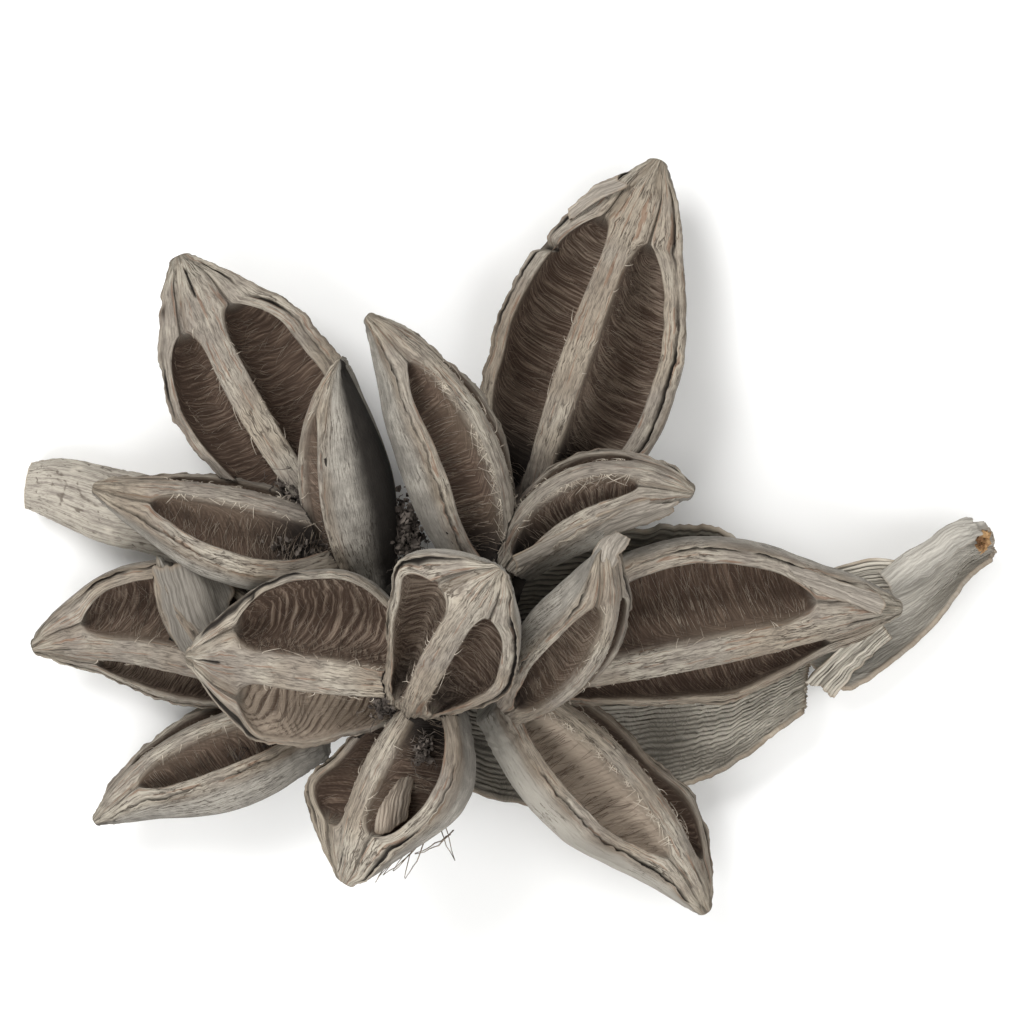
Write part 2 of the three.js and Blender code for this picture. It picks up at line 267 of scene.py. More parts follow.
def takeBody(left):
    # takes a vertex out of a set, with all those that are joined to it
    edge = [left.pop()]
    body = []
    while edge:
        body += edge
        reached = []
        for vertex in edge:
            for link in vertex.link_edges:
                other = link.other_vert(vertex)
                if other in left:
                    left.discard(other)
                    reached.append(other)
        edge = reached
    return body


def keepLargest(item):
    # drops the loose bits that a cut leaves
    mesh = bmesh.new()
    mesh.from_mesh(item.data)
    left = set(mesh.verts)
    bodies = []
    while left:
        bodies.append(takeBody(left))
    for body in sorted(bodies, key=len)[:-1]:
        bmesh.ops.delete(mesh, geom=body, context="VERTS")
    mesh.to_mesh(item.data)
    mesh.free()
    return item


# The valves, as in the CAD: the ones in front first
clearance = 0.35
tipRadius = 1.7
wallThickness = 1.9
septumThickness = 1.6
ridgeCrown = 0.9
neckShare = 0.42
depthShares = [0.6, 0.95, 1, 0.72, 0.08]
ridgeShares = [0.5, 0.95, 1, 0.72, 0.1]
chamberStart = 0.06
roundedShare = 0.32
shutWide = 0.14
bowl = [[0.88, 0.42], [0.48, 0.86], [0.15, 0.5]]
limits = {
    "bluntFrom": 0.8, "backFloor": 0.5, "crownOfWidth": 0.35, "rimOfReach": 0.4, "bowlEnd": 0.97,
    "innerWidth": 0.5, "innerDepth": 0.4,
}
sides = {"left": 0, "right": 1}  # the place of each half in a pair of values

valves = {
    "valve_c3": {
        "base": [-28, -47, 70], "tip": [-4, -9, 112], "sway": -2, "arch": 0, "roll": 4,
        "left": [13, 18, 22], "right": [20, 21, 16], "depth": 18, "ridge": 7, "crown": 7, "rim": 4,
        "mouth": [0.76, 0.78],
    },
    "valve_c1": {
        "base": [-26, -40, 66], "tip": [-89, -33, 60], "sway": 2, "arch": 0, "roll": -18,
        "left": [20, 25, 22], "right": [24, 27, 19], "depth": 21, "ridge": 10.5, "crown": 9, "rim": 4.5,
        "mouth": [0.79, 0.8],
    },
    "valve_c2": {
        "base": [-22, -43, 66], "tip": [-47, -94, 58], "sway": 1, "arch": 3, "roll": 38,
        "left": [20, 20, 14], "right": [15, 20, 25], "depth": 24, "ridge": 8, "crown": 6, "rim": 4,
        "mouth": [0.72, 0.8],
    },
    "valve_d3": {
        "base": [0, -48, 54], "tip": [25, -4, 94], "sway": 7, "arch": -2, "roll": 52,
        "left": [14, 17, 12], "right": [14, 16, 11], "depth": 15, "ridge": 8, "crown": 5, "rim": 3.5,
        "mouth": [0.78, 0.75],
    },
    "valve_a3": {
        "base": [-2, -8, 50], "tip": [49, 13, 60], "sway": -11, "arch": 0, "roll": -52,
        "left": [13, 15.5, 13], "right": [13, 15.5, 12], "depth": 15, "ridge": 7, "crown": 6, "rim": 3.5,
        "mouth": [0.75, 0.8],
    },
    "valve_a2": {
        "base": [-5, -12, 46], "tip": [-39, 60.5, 64], "sway": 8, "arch": 1, "roll": 56,
        "left": [18, 20, 15], "right": [18, 20, 14], "depth": 18, "ridge": 9, "crown": 7, "rim": 4,
        "mouth": [0.83, 0.75],
    },
    "valve_b2": {
        "base": [-42, -15, 36], "tip": [-48, 48, 62], "sway": -5, "arch": -3, "roll": -98,
        "left": [16, 17, 13], "right": [18, 19, 12.5], "depth": 16, "ridge": 9, "crown": 5, "rim": 3.5,
        "mouth": [0.7, 0.8],
    },
    "valve_b3": {
        "base": [-44, -2, 44], "tip": [-116, 14, 36], "sway": 0, "arch": 0, "roll": 52,
        "left": [22, 22.5, 13], "right": [16, 18, 13], "depth": 14, "ridge": 8, "crown": 6, "rim": 4,
        "mouth": [0.78, 0.75],
    },
    "valve_d1": {
        "base": [8, -38, 44], "tip": [108, -20, 34], "sway": -4, "arch": 0, "roll": 35,
        "left": [26, 28, 17], "right": [21, 26, 17], "depth": 22, "ridge": 12, "crown": 8, "rim": 4.5,
        "mouth": [0.77, 0.81],
    },
    "valve_d2": {
        "base": [-2, -42, 44], "tip": [54.5, -104, 28], "sway": -4.5, "arch": -1, "roll": -45,
        "left": [16, 17, 19], "right": [19, 20, 11], "depth": 23, "ridge": 8.5, "crown": 7, "rim": 4,
        "mouth": [0.87, 0.78],
    },
    "valve_a1": {
        "base": [5, 5, 29.5], "tip": [41, 105, 23], "sway": -1, "arch": 0, "roll": -17,
        "left": [24, 28, 22], "right": [26, 28, 19.5], "depth": 26, "ridge": 9, "crown": 7, "rim": 6,
        "mouth": [0.82, 0.79],
    },
    "valve_b1": {
        "base": [-50, 2, 32], "tip": [-93, 78, 26], "sway": -3, "arch": 2, "roll": -4,
        "left": [16, 20, 17], "right": [26, 28, 21], "depth": 21, "ridge": 8, "crown": 7, "rim": 5,
        "mouth": [0.78, 0.8],
    },
    "valve_e3": {
        "base": [-81, -38, 28], "tip": [-99, -7, 38], "sway": -3, "arch": 0, "roll": -85,
        "left": [10, 12, 9], "right": [12, 14, 9], "depth": 14, "ridge": 4, "crown": 4, "rim": 3,
        "mouth": [0.7, 0.7],
    },
    "valve_e1": {
        "base": [-63, -43, 30], "tip": [-134, -31, 20], "sway": 9, "arch": 0, "roll": -31,
        "left": [18, 20.5, 15], "right": [22, 23.5, 17], "depth": 16, "ridge": 11.5, "crown": 7, "rim": 4,
        "mouth": [0.79, 0.81],
    },
    "valve_e2": {
        "base": [-53, -51, 32], "tip": [-117, -79, 20], "sway": 6, "arch": 0, "roll": 58,
        "left": [18, 19, 13], "right": [18, 20, 14], "depth": 19, "ridge": 6.5, "crown": 6, "rim": 4,
        "mouth": [0.78, 0.78],
    },
}

# How each valve has worn, and where shade and light are painted on it. The pairs are for its left and its
# right half.
# comb: spacing, height and bend of the ridges of hair across its chambers
# slit: the shares of the length between which the skin has split from the rim, and how deep; the split is
# also painted dark, as shade in it
# seam: where that split runs on the rim, from 0 at the skin to 1 at the chamber
# rims: how wide the rims are, where that isn't the CAD's width
# paintedShade, paintedShadeEnd: how dark the inner end is painted, as shade deep in the middle of the pod
# and more so in the chambers, and up to which share of the length
# backShade: how dark the right side of the back is painted, as shade from the valve next to it
# light: how pale the chamber and the skin are on each half, partly their own tone; where the halves differ,
# the half that faces the lamps is painted paler, as painted light
# ragged, lift: how torn the skin's edge is, and how far it stands up along the split
# blunt, tipSlit: how much wider the tip is than in the CAD, and how deep it is split
# lens: how much the ridge narrows towards both ends
# notches: which rim has one, where, how wide and how deep
# fringe: how many short threads stand on the ridge's edges
weatherAndShade = {
    "comb": [1.5, 0.32, 4.0], "slit": [[0.2, 0.97, 2.0], [0.2, 0.97, 2.0]], "seam": [0.25, 0.25],
    "paintedShade": 0.8, "paintedShadeEnd": 0.4, "ragged": 0.7, "lift": 0.4, "light": [0.05, 0.05], "blunt": 1.2,
    "lens": 0.45, "backShade": 0.0, "tipSlit": 0.6, "notches": [], "fringe": [12, 12],
}
weatheredAndShaded = {
    "valve_c1": {"comb": [2.4, 1.0, 10.0], "slit": [[0.6, 0.97, 1.2], [0.5, 0.97, 1.2]], "paintedShade": 0.4,
                 "paintedShadeEnd": 0.25, "light": [0.8, 0.15], "rims": [2.6, 1.8], "blunt": 1.5, "tipSlit": 1.4,
                 "notches": [["right", 0.735, 1.2, 1.6]]},
    "valve_c2": {"comb": [1.4, 0.35, 4.0], "slit": [[0.2, 0.97, 2.0], [0.3, 0.97, 3.0]], "paintedShade": 0.95,
                 "paintedShadeEnd": 0.5, "blunt": 3.0, "rims": [4.5, 3.4], "tipSlit": 1.5},
    "valve_c3": {"comb": [1.9, 0.5, 9.0], "slit": [[0.3, 0.95, 2.5], [0.1, 0.97, 3.0]], "paintedShade": 0.6,
                 "paintedShadeEnd": 0.3, "light": [0.4, 0.3], "blunt": 2.0, "rims": [3, 4.8]},
    "valve_a1": {"comb": [1.2, 0.24, 6.0], "slit": [[0.3, 0.97, 1.5], [0.2, 0.97, 3.5]], "paintedShade": 1.0,
                 "seam": [0.2, 0.38], "light": [0.3, 0.3], "blunt": 1.6, "rims": [4.6, 6.2],
                 "notches": [["left", 0.7, 1.4, 4.0]], "tipSlit": 0.3},
    "valve_b1": {"comb": [1.6, 0.35, 5.0], "slit": [[0.5, 0.9, 1.5], [0.15, 0.98, 3.0]], "paintedShade": 0.9,
                 "seam": [0.25, 0.46], "paintedShadeEnd": 0.35, "blunt": 1.5, "rims": [3.2, 6.5], "tipSlit": 2.2},
    "valve_a2": {"comb": [1.6, 0.35, 4.0], "slit": [[0.05, 0.98, 3.0], [0.3, 0.9, 1.0]], "paintedShade": 0.9,
                 "paintedShadeEnd": 0.35, "fringe": [110, 60]},
    "valve_a3": {"rims": [3.5, 8.0], "slit": [[0.3, 0.95, 1.5], [0.1, 0.97, 2.5]], "light": [0.1, 0.2],
                 "blunt": 2.0, "fringe": [30, 70]},
    "valve_b3": {"comb": [1.3, 0.3, 8.0], "slit": [[0.4, 0.97, 3.0], [0.3, 0.9, 1.0]], "paintedShade": 1.0,
                 "seam": [0.36, 0.25], "rims": [6.0, 4.0], "paintedShadeEnd": 0.55, "fringe": [30, 50]},
    "valve_d1": {"comb": [1.2, 0.24, 4.0], "slit": [[0.3, 0.96, 2.5], [0.4, 0.96, 1.0]], "paintedShade": 0.35,
                 "paintedShadeEnd": 0.2, "light": [0.0, 0.1], "tipSlit": 1.5},
    "valve_d2": {"light": [0.1, 0.95], "paintedShade": 0.5, "paintedShadeEnd": 0.3, "tipSlit": 1.5, "fringe": [60, 110]},
    "valve_d3": {"light": [0.2, 0.2], "paintedShade": 0.6, "paintedShadeEnd": 0.3, "blunt": 2.2},
    "valve_b2": {"backShade": 1.0, "blunt": 2.2},
    "valve_e1": {"light": [0.3, 0.2]},
    "valve_e2": {"slit": [[0.1, 0.97, 2.5], [0.3, 0.97, 1.5]]},
}

# The shares at which each zone of half a cross-section has its points
columnsOf = {
    "back": np.linspace(0, 1, 17)[:-1],
    "rim": np.array([0, 0.07, 0.14, 0.2, 0.25, 0.3, 0.36, 0.42, 0.48, 0.56, 0.68, 0.8, 0.92]),
    "bowl": np.linspace(0, 1, 26)[:-1],
    "septum": np.array([0.0, 0.35, 0.7]),
    "crown": np.linspace(0, 1, 7),
}
coarseOf = {
    "back": np.linspace(0, 1, 6)[:-1],
    "rim": np.array([0.0]),
    "bowl": np.array([0.0, 0.5]),
    "septum": np.array([0.0]),
    "crown": np.array([0.0, 1.0]),
}
slitHalf = 0.42  # half the width of the split between a rim and its skin
rowStep = 0.58  # between the cross-sections of a valve
zoneWidths = {"back": 34, "rim": 6, "bowl": 32, "septum": 1.5, "crown": 4}  # of the surface map
capRows = [0.35, 0.65, 0.85, 0.97]
plainRows = 19


def valveFrame(valve, u):
    # the middle line of a valve and its frame: along, out of the open face, and to the right
    base = np.array(valve["base"], float)
    chord = np.array(valve["tip"], float) - base
    level = unit(np.cross(chord, [0, 0, 1]))
    rise = unit(np.cross(level, chord))
    bow = level * valve["sway"] + rise * valve["arch"]
    u = np.asarray(u, float)[..., None]
    centre = base + chord * u + bow * 4 * u * (1 - u)
    along = unit(chord + bow * 4 * (1 - 2 * u))
    out = unit(np.array([0, 0, 1]) - along * along[..., 2:])
    roll = math.radians(valve["roll"])
    out = out * math.cos(roll) + np.cross(along, out) * math.sin(roll)
    return centre, along, out, np.cross(along, out)


def chamberAt(u, end, filled):
    across = np.abs(2 * (u - chamberStart) / (end - chamberStart) - 1)
    intoEnd = np.clip((across - 1) / roundedShare + 1, 0, 1)
    inside = (across < 1) & (not filled)
    wide = np.where(inside, np.maximum(shutWide, np.sqrt(1 - intoEnd**2)), shutWide)
    return wide, np.where(inside, np.sqrt(np.maximum(0, 1 - across**6)), 0)


def halfShape(valve, side, u, filled=False, uneven=0):
    # the corners of half a cross-section at each u
    width = smoothAt([neckShare * valve[side][1], *valve[side], tipRadius], u) + uneven
    width = width + valve.get("blunt", 0) * ramp(u, limits["bluntFrom"], 1)
    depth = smoothAt(depthShares, u) * valve["depth"] + limits["backFloor"]
    height = smoothAt(ridgeShares, u) * valve["ridge"]
    rimEdge = np.stack([width, 0 * width], -1)
    halfCrown = np.minimum(valve["crown"] / 2, limits["crownOfWidth"] * width)
    septumEdge = np.stack([halfCrown, height], -1)
    reach = np.linalg.norm(rimEdge - septumEdge, axis=-1)
    wide, deep = chamberAt(u, valve["mouth"][sides[side]], filled)
    rimShare = np.minimum(limits["rimOfReach"], valve["rim"] / reach)
    middle = (rimShare + 1) / 2
    outer = mix(rimEdge, septumEdge, mix(middle, rimShare, wide)[:, None])
    inner = mix(rimEdge, septumEdge, mix(middle, limits["bowlEnd"], wide)[:, None])
    innerWidth = np.maximum(limits["innerWidth"] * width, width - wallThickness)
    innerDepth = np.maximum(limits["innerDepth"] * depth, depth - wallThickness)
    controls = [np.stack([b * innerWidth, -n * innerDepth], -1) for b, n in bowl]
    controls[2][:, 0] += septumThickness / 2
    return {"width": width, "height": height, "depth": depth, "rimEdge": rimEdge,
            "septumEdge": septumEdge, "outer": outer, "inner": inner,
            "through": np.stack([outer, *controls, inner]), "deep": deep}


def zonePoints(shape, zone, t):
    # points (m, n, 2) of one zone of half a cross-section, at the shares t (m, 1) or (m, n)
    if zone == "back":
        angle = (t - 1) * math.pi / 2
        return np.stack([np.cos(angle) * shape["width"], np.sin(angle) * shape["depth"]], -1)
    t3 = np.broadcast_to(t, (len(t), len(shape["width"])))[..., None]
    if zone == "rim":
        return mix(shape["rimEdge"], shape["outer"], t3)
    if zone == "bowl":
        flat = mix(shape["outer"], shape["inner"], t3)
        return mix(flat, curveAt(shape["through"], t3[..., 0]), shape["deep"][:, None])
    if zone == "septum":
        return mix(shape["inner"], shape["septumEdge"], t3)
    rise = np.minimum(ridgeCrown, shape["height"] / 2)
    across = shape["septumEdge"][:, 0] * (1 - t)
    return np.stack([across, shape["septumEdge"][:, 1] + rise * (1 - (1 - t) ** 2)], -1)


def halfSection(valve, side, u, columns, filled=False, uneven=0):
    shape = halfShape(valve, side, u, filled, uneven)
    return shape, {zone: zonePoints(shape, zone, t[:, None]) for zone, t in columns.items()}


def lengthOf(valve):
    return np.linalg.norm(np.subtract(valve["tip"], valve["base"]))


def lookOf(name):
    return {**weatherAndShade, **weatheredAndShaded.get(name, {})}


def facing(flat, side):
    # mirrors the left half
    return flat * [1 if side == "right" else -1, 1]


def placed(valve, u, flat):
    # points (m, n, 2) across and out, as points in space
    centre, _, out, right = valveFrame(valve, u)
    return centre + right * flat[..., :1] + out * flat[..., 1:]


def joined(right, left):
    # two halves (columns, rows) as one ring (rows, columns)
    return np.concatenate([right, left[-2::-1]]).swapaxes(0, 1)


def capEnds(points, reach):
    # rounds the last cross-section off into a blunt knob
    middle = points[-1].mean(0)
    onward = unit(middle - points[-2].mean(0))
    knob = []
    for s in capRows:
        knob.append(middle + (points[-1] - middle) * math.sqrt(1 - s * s) + onward * reach * s)
    tail = points[:1].mean(1, keepdims=True) + 0 * points[:1]
    return np.concatenate([tail, points, np.stack(knob), knob[-1].mean(0) + 0 * points[:1]])


def plainValve(name, valve, grow):
    # a filled valve of few faces, to cut others with
    u = np.linspace(0, 1, plainRows)
    halves = []
    for side in ("right", "left"):
        _, zones = halfSection(valve, side, u, coarseOf, filled=True)
        flat = np.concatenate(list(zones.values()))
        reach = np.linalg.norm(flat, axis=-1, keepdims=True)
        flat = facing(flat * (1 + grow / np.maximum(reach, 1)), side)
        halves.append(placed(valve, u, flat))
    points = joined(*halves)
    points = beyondEnds(points, points.mean(1, keepdims=True), grow, tipRadius / 2 + grow)
    return gridPiece(name, points, closed=True)


# How the rims, shoulders and ridges have worn, in millimetres
wear = {
    "swell": 0.9, "swellLength": 13, "ripple": 0.2, "rippleLength": 4, "rimBulge": 0.35, "lipRough": 0.2,
    "edgeRough": 0.55, "flare": 0.5, "fray": 0.6, "groove": 0.3,
}
shoulderSink = 0.07  # share of the width
faintSplit = 0.3  # of a full split


def splitAt(look, side, u, along, rim, seed):
    # how open the split between skin and rim is along the valve, and at each column of the rim
    seam = look["seam"][sides[side]] + 0.05 * noiseAt(along / 9, seed=seed + 3)
    start, end, _ = look["slit"][sides[side]]
    split = ramp(u, start, start + 0.08) * (1 - ramp(u, end - 0.03, end))
    split = split * np.clip(0.75 + 0.6 * noiseAt(along / 7, seed=seed + 4), 0.1, 1)
    faint = faintSplit * ramp(noiseAt(along / 5, seed=seed + 22), -0.2, 0.4) * ramp(u, 0.1, 0.2)
    line = bump(columnsOf["rim"][:, None], seam, slitHalf / rim)
    return split, line * np.maximum(split, faint)


def wearRim(zone, shape, look, side, u, length, rim, seed):
    # a ragged edge of skin, the split behind it, then wood with a lip over the chamber
    along = u * length
    split, slit = splitAt(look, side, u, along, rim, seed)
    t = columnsOf["rim"][:, None]
    body = ramp(shape["width"], 2, 7)
    ragged = look["ragged"] * roughAt(along / 2.2, seed=seed + 5) + look["lift"] * split
    lip = ramp(t, 0.7, 0.95) * shape["deep"]
    zone[..., 1] += wear["rimBulge"] * np.sin(math.pi * t) ** 0.7 * body
    zone[..., 1] += (1 - ramp(t, 0.14, 0.25)) * ragged * body
    zone[..., 1] += wear["lipRough"] * lip * roughAt(along / 2.6, seed=seed + 7)
    zone[..., 1] -= look["slit"][sides[side]][2] * slit
    edge = wear["edgeRough"] * roughAt(along / 2.4, seed=seed + 6) * body + wear["flare"] * split
    zone[..., 0] += (1 - t) * edge
    for notchSide, spot, halfWidth, drop in look["notches"]:
        if notchSide == side:
            gap = bump(along, spot * length, halfWidth) * (1 - ramp(t, 0.75, 1))
            zone[..., 1] -= drop * gap
            zone[..., 0] -= 0.5 * drop * gap
            slit = np.maximum(slit, 0.9 * bump(along, spot * length, 0.4 * halfWidth))
    return slit


def lensAt(look, u):
    # the ridge is widest in its middle
    return 1 - look["lens"] * (1 - np.sin(math.pi * np.clip(u * 1.05, 0, 1)) ** 0.7)


def wearRidge(zones, shape, look, u, along, seed):
    # worn, ragged edges, grooves along the ridge and a split at its tip
    fray = wear["fray"] * roughAt(along / 1.6, seed=seed + 8) * np.minimum(1, shape["height"] / 4)
    zones["septum"][..., 0] += fray * columnsOf["septum"][:, None]
    t = columnsOf["crown"][:, None]
    zones["crown"][..., 0] += fray * (1 - t)
    groove = bump(t, 0.45 + 0.15 * noiseAt(along / 14, seed=seed + 9), 0.14) + 0.7 * bump(t, 0.98, 0.1)
    zones["crown"][..., 1] -= wear["groove"] * groove * ramp(shape["height"], 1, 3)
    tipSplit = bump(t, 1, 0.16) * ramp(u, 0.85, 0.88) * (1 - ramp(u, 0.95, 0.98))
    zones["crown"][..., 1] -= look["tipSlit"] * tipSplit
    for zone in ("septum", "crown"):
        zones[zone][..., 0] *= lensAt(look, u)
    return tipSplit


def detailHalf(valve, look, side, u, length, seed):
    # half a cross-section at each u with its wear: how deep its chamber is, its points, their zones
    # and how deep they are split
    along = u * length
    uneven = wear["swell"] * noiseAt(along / wear["swellLength"], seed=seed)
    uneven = uneven + wear["ripple"] * noiseAt(along / wear["rippleLength"], seed=seed + 1)
    uneven = uneven * ramp(u, 0, 0.2) * (1 - 0.5 * ramp(u, 0.9, 1))
    rim = look["rims"][sides[side]] if "rims" in look else valve["rim"]
    worn = {**valve, "blunt": look["blunt"], "rim": rim}
    shape, zones = halfSection(worn, side, u, columnsOf, uneven=uneven)
    slit = wearRim(zones["rim"], shape, look, side, u, length, rim, seed)
    shoulder = np.sin(math.pi * columnsOf["bowl"][:, None]) * (1 - shape["deep"]) * ramp(u, 0.3, 0.6)
    zones["bowl"][..., 1] -= shoulderSink * shape["width"] * shoulder
    tipSplit = wearRidge(zones, shape, look, u, along, seed)

    flat = facing(np.concatenate(list(zones.values())), side)
    zone = np.concatenate([np.full(len(t), k) + t * 0.999 for k, t in enumerate(columnsOf.values())])
    zone = zone[:, None] + 0 * u
    split = np.zeros_like(zone)
    firstRim = len(columnsOf["back"])
    split[firstRim : firstRim + len(slit)] = slit
    split[-len(tipSplit) :] = tipSplit * min(1, look["tipSlit"])
    return {"deep": shape["deep"], "points": placed(valve, u, flat), "zone": zone, "slit": split}


# The fine forms of a valve's surface: height, sizes in the two directions, number and octaves of noise
valveForms = {
    "warp": {"height": 1.1, "sizes": [9, 7], "number": 12, "octaves": 3},
    "strength": {"height": 0.5, "sizes": [6, 5], "number": 13, "octaves": 1},
    "hair": {"height": 0.12, "sizes": [0.6, 6], "number": 14, "octaves": 1},
    "lines": {"height": 0.1, "sizes": [1.6, 24], "number": 15, "octaves": 1},
    "broadLines": {"height": 0.18, "sizes": [4.5, 30], "number": 16, "octaves": 1},
    "grain": {"height": 0.07, "sizes": [0.55, 22], "number": 17, "octaves": 1},
    "lumps": {"height": 0.35, "sizes": [12, 8], "number": 18, "octaves": 3},
    "burr": {"height": 0.7, "sizes": [1.4, 1.2], "number": 19, "octaves": 3},
    "tip": {"height": 0.8, "sizes": [2.2, 2.6], "number": 20, "octaves": 3},
    "brokenLip": {"height": 0.7, "sizes": [8, 5], "number": 23, "octaves": 1},
    "crags": {"height": 0.22, "sizes": [1.8, 1.1], "number": 24, "octaves": 3},
}


def formAt(name, first, second, seed):
    form = valveForms[name]
    sizes = form["sizes"]
    noise = roughAt(first / sizes[0], second / sizes[1], seed=seed + form["number"], octaves=form["octaves"])
    return form["height"] * noise


def valveSurface(valve, look, u, length, seed):
    # the ring of a valve's points, and for each its zone, its split and its place on the surface
    right = detailHalf(valve, look, "right", u, length, seed)
    left = detailHalf(valve, look, "left", u, length, seed + seeds["left"])
    surface = {key: joined(right[key], left[key]) for key in ("points", "zone", "slit")}
    half = np.interp(right["zone"][:, 0], range(len(zoneWidths) + 1), np.cumsum([0, *zoneWidths.values()]))
    surface["across"] = np.concatenate([half, 2 * half[-1] - half[-2::-1]]) + 0 * surface["zone"]
    surface["along"] = (u * length)[:, None] + 0 * surface["across"]
    surface["onRight"] = np.arange(2 * len(half) - 1) < len(half)
    surface["deep"] = np.where(surface["onRight"], right["deep"][:, None], left["deep"][:, None])
    return surface


def addRelief(surface, look, u, seed):
    # raises the fine forms: combed hair in the chambers, lines on the skin and grain on the faces
    across, along, zone = (surface[key] for key in ("across", "along", "zone"))
    inBowl = (zone >= 2) & (zone < 3)
    bowlShare = np.where(inBowl, zone - 2, 0)
    walls = np.minimum(1, np.sin(math.pi * bowlShare) * 7) * ramp(surface["deep"], 0.05, 0.6)
    lining = np.where(inBowl, walls, 0)
    skin = np.where(zone < 1, ramp(1 - zone, 0.0, 0.12), 0)

    pitch, height, bend = look["comb"]
    arched = along + bend * (4 * bowlShare * (1 - bowlShare))
    warp = formAt("warp", along, across, seed)
    strand = 1 - np.abs(2 * np.modf(np.abs(arched / pitch + warp))[0] - 1)
    comb = height * (strand**1.5 - 0.4) * (0.6 + formAt("strength", along, across, seed))
    hair = formAt("hair", arched, across, seed)
    lines = formAt("lines", across, along, seed) + formAt("broadLines", across, along, seed)
    grain = formAt("grain", across, along, seed)
    relief = lining * (comb + hair) + skin * lines + (1 - lining) * (1 - skin) * grain

    tipward = ramp(u, 0.9, 1)[:, None]
    lumps = 0.5 * formAt("lumps", along, across, seed) * (1 - 0.6 * lining)
    burr = formAt("burr", along, across, seed) * (1 - ramp(u, 0.06, 0.2))[:, None]
    crags = formAt("crags", along, across, seed) * bump(zone, 1, 0.35)
    offset = relief + lumps + burr + formAt("tip", along, across, seed) * tipward + crags
    surface["points"] = surface["points"] + normalsOf(surface["points"], True) * offset[..., None]
    surface.update(lining=lining, skin=skin, relief=relief, tipward=tipward + 0 * zone,
                   combed=(arched + warp * pitch) * lining)


def valveMarks(surface, look, u, seed):
    # what the valve's material reads at each point
    lining, skin, relief, zone = (surface[key] for key in ("lining", "skin", "relief", "zone"))
    # painted shade at the inner end, deep in the middle of the pod, stronger inside the chambers
    depth = (0.4 + 0.6 * lining) * look["paintedShade"]
    paintedShade = depth * (1 - ramp(u, 0.03, look["paintedShadeEnd"]))[:, None]
    # painted shade on the right side of the back, where the next valve shades it
    rightBack = skin * surface["onRight"] * ramp(1 - zone, 0.15, 0.75)
    paintedShade = np.maximum(paintedShade, look["backShade"] * rightBack)
    lips = bump(zone, 1, 0.12) + bump(zone, 2.02, 0.05) + bump(zone, 3.05, 0.18)
    broken = 0.6 + formAt("brokenLip", surface["along"], surface["across"], seed)
    return {
        # relief is stretched here for the painted light and shade on the grooves
        "lining": lining, "skin": skin, "relief": relief * np.where(lining > 0, 1.25, 3),
        # unshaded is low where shade is painted: at the inner end, on a shaded back and in the splits
        "unshaded": 1 - np.maximum(paintedShade, surface["slit"]),
        # the wood's own paler tone, and on some valves painted light on the half that faces the lamps
        "toneAndLight": np.where(surface["onRight"], look["light"][1], look["light"][0]) + 0 * zone,
        "tipward": surface["tipward"], "lips": lips * np.clip(broken, 0, 1), "combed": surface["combed"],
    }


def fineValve(name, valve):
    seed = list(valves).index(name) * seeds["valve"]
    look = lookOf(name)
    length = lengthOf(valve)
    u = np.linspace(0, 1, int(length / rowStep))
    surface = valveSurface(valve, look, u, length, seed)
    addRelief(surface, look, u, seed)
    marks = valveMarks(surface, look, u, seed)
    points = capEnds(surface["points"], tipRadius)
    extra = len(points) - len(u) - 1
    uv = padded(np.stack([surface["across"], surface["along"]], -1), 1, extra)
    marks = {mark: padded(values, 1, extra) for mark, values in marks.items()}
    return gridPiece(name + "_fine", points, uv, marks, closed=True)


# Hairs, threads and clumps of fibre
def fibres(name, strands, thickness, finish, taper=0.35):
    # one object of thin round threads: strands is a list of arrays of points
    curve = bpy.data.curves.new(name, "CURVE")
    curve.dimensions = "3D"
    curve.bevel_depth = 1  # the points' radii hold the real thickness
    curve.bevel_resolution = 0
    curve.use_fill_caps = True
    for strand in strands:
        line = curve.splines.new("POLY")
        line.points.add(len(strand) - 1)
        spots = np.concatenate([strand * mm, np.ones((len(strand), 1))], 1)
        line.points.foreach_set("co", spots.ravel())
        line.points.foreach_set("radius", np.linspace(1, taper, len(strand)) * thickness / 2 * mm)
    curve.materials.append(finishes[finish])
    item = added(name, curve)
    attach(item, "root")


def bowlPoints(valve, side, u, t):
    # points in the chamber at u (n,) and the shares t (m, n) from its rim to its ridge
    flat = zonePoints(halfShape(valve, side, u), "bowl", t)
    return placed(valve, u, facing(flat, side))


chamberHair = {
    "count": 230, "steps": 4, "thickness": 0.14, "fromRidge": 0.55, "nearRidge": [0.8, 0.99],
    "onWall": [0.02, 0.6], "reach": [0.12, 0.35], "drift": [-2.5, 2.5], "lean": 2.0, "follow": 0.2,
    "raised": [0.02, 0.1], "standing": 0.12, "clear": 0.015,
}


def chamberHairs(valve, look, side, count, chance):
    # combed hairs that lie across a chamber's wall, their free ends a little raised
    hair = chamberHair
    end = valve["mouth"][sides[side]]
    length = lengthOf(valve)
    root = chance.uniform(chamberStart + 0.05, end - 0.03, count)
    fromRidge = chance.random(count) < hair["fromRidge"]
    nearRidge = chance.uniform(*hair["nearRidge"], count)
    start = np.where(fromRidge, nearRidge, chance.uniform(*hair["onWall"], count))
    reach = chance.uniform(*hair["reach"], count) * np.where(fromRidge, -1, 1)
    drift = (chance.uniform(*hair["drift"], count) - hair["lean"]) / length
    raised = chance.uniform(*hair["raised"], count)
    raised = raised * (1 + 2 * (chance.random(count) < hair["standing"]))
    strands = []
    for share in np.linspace(0, 1, hair["steps"]):
        arched = look["comb"][2] * hair["follow"] / length * math.sin(math.pi * share)
        u = np.clip(root + drift * share + arched, 0.02, end)
        t = np.clip(start + reach * share, 0.01, 0.995)
        wall = bowlPoints(valve, side, u, t[None])[0]
        middle = bowlPoints(valve, side, u, np.full((2, count), [[0.02], [0.98]])).mean(0)
        strands.append(wall + (middle - wall) * (raised * share + hair["clear"])[:, None])
    return list(np.stack(strands, 1))


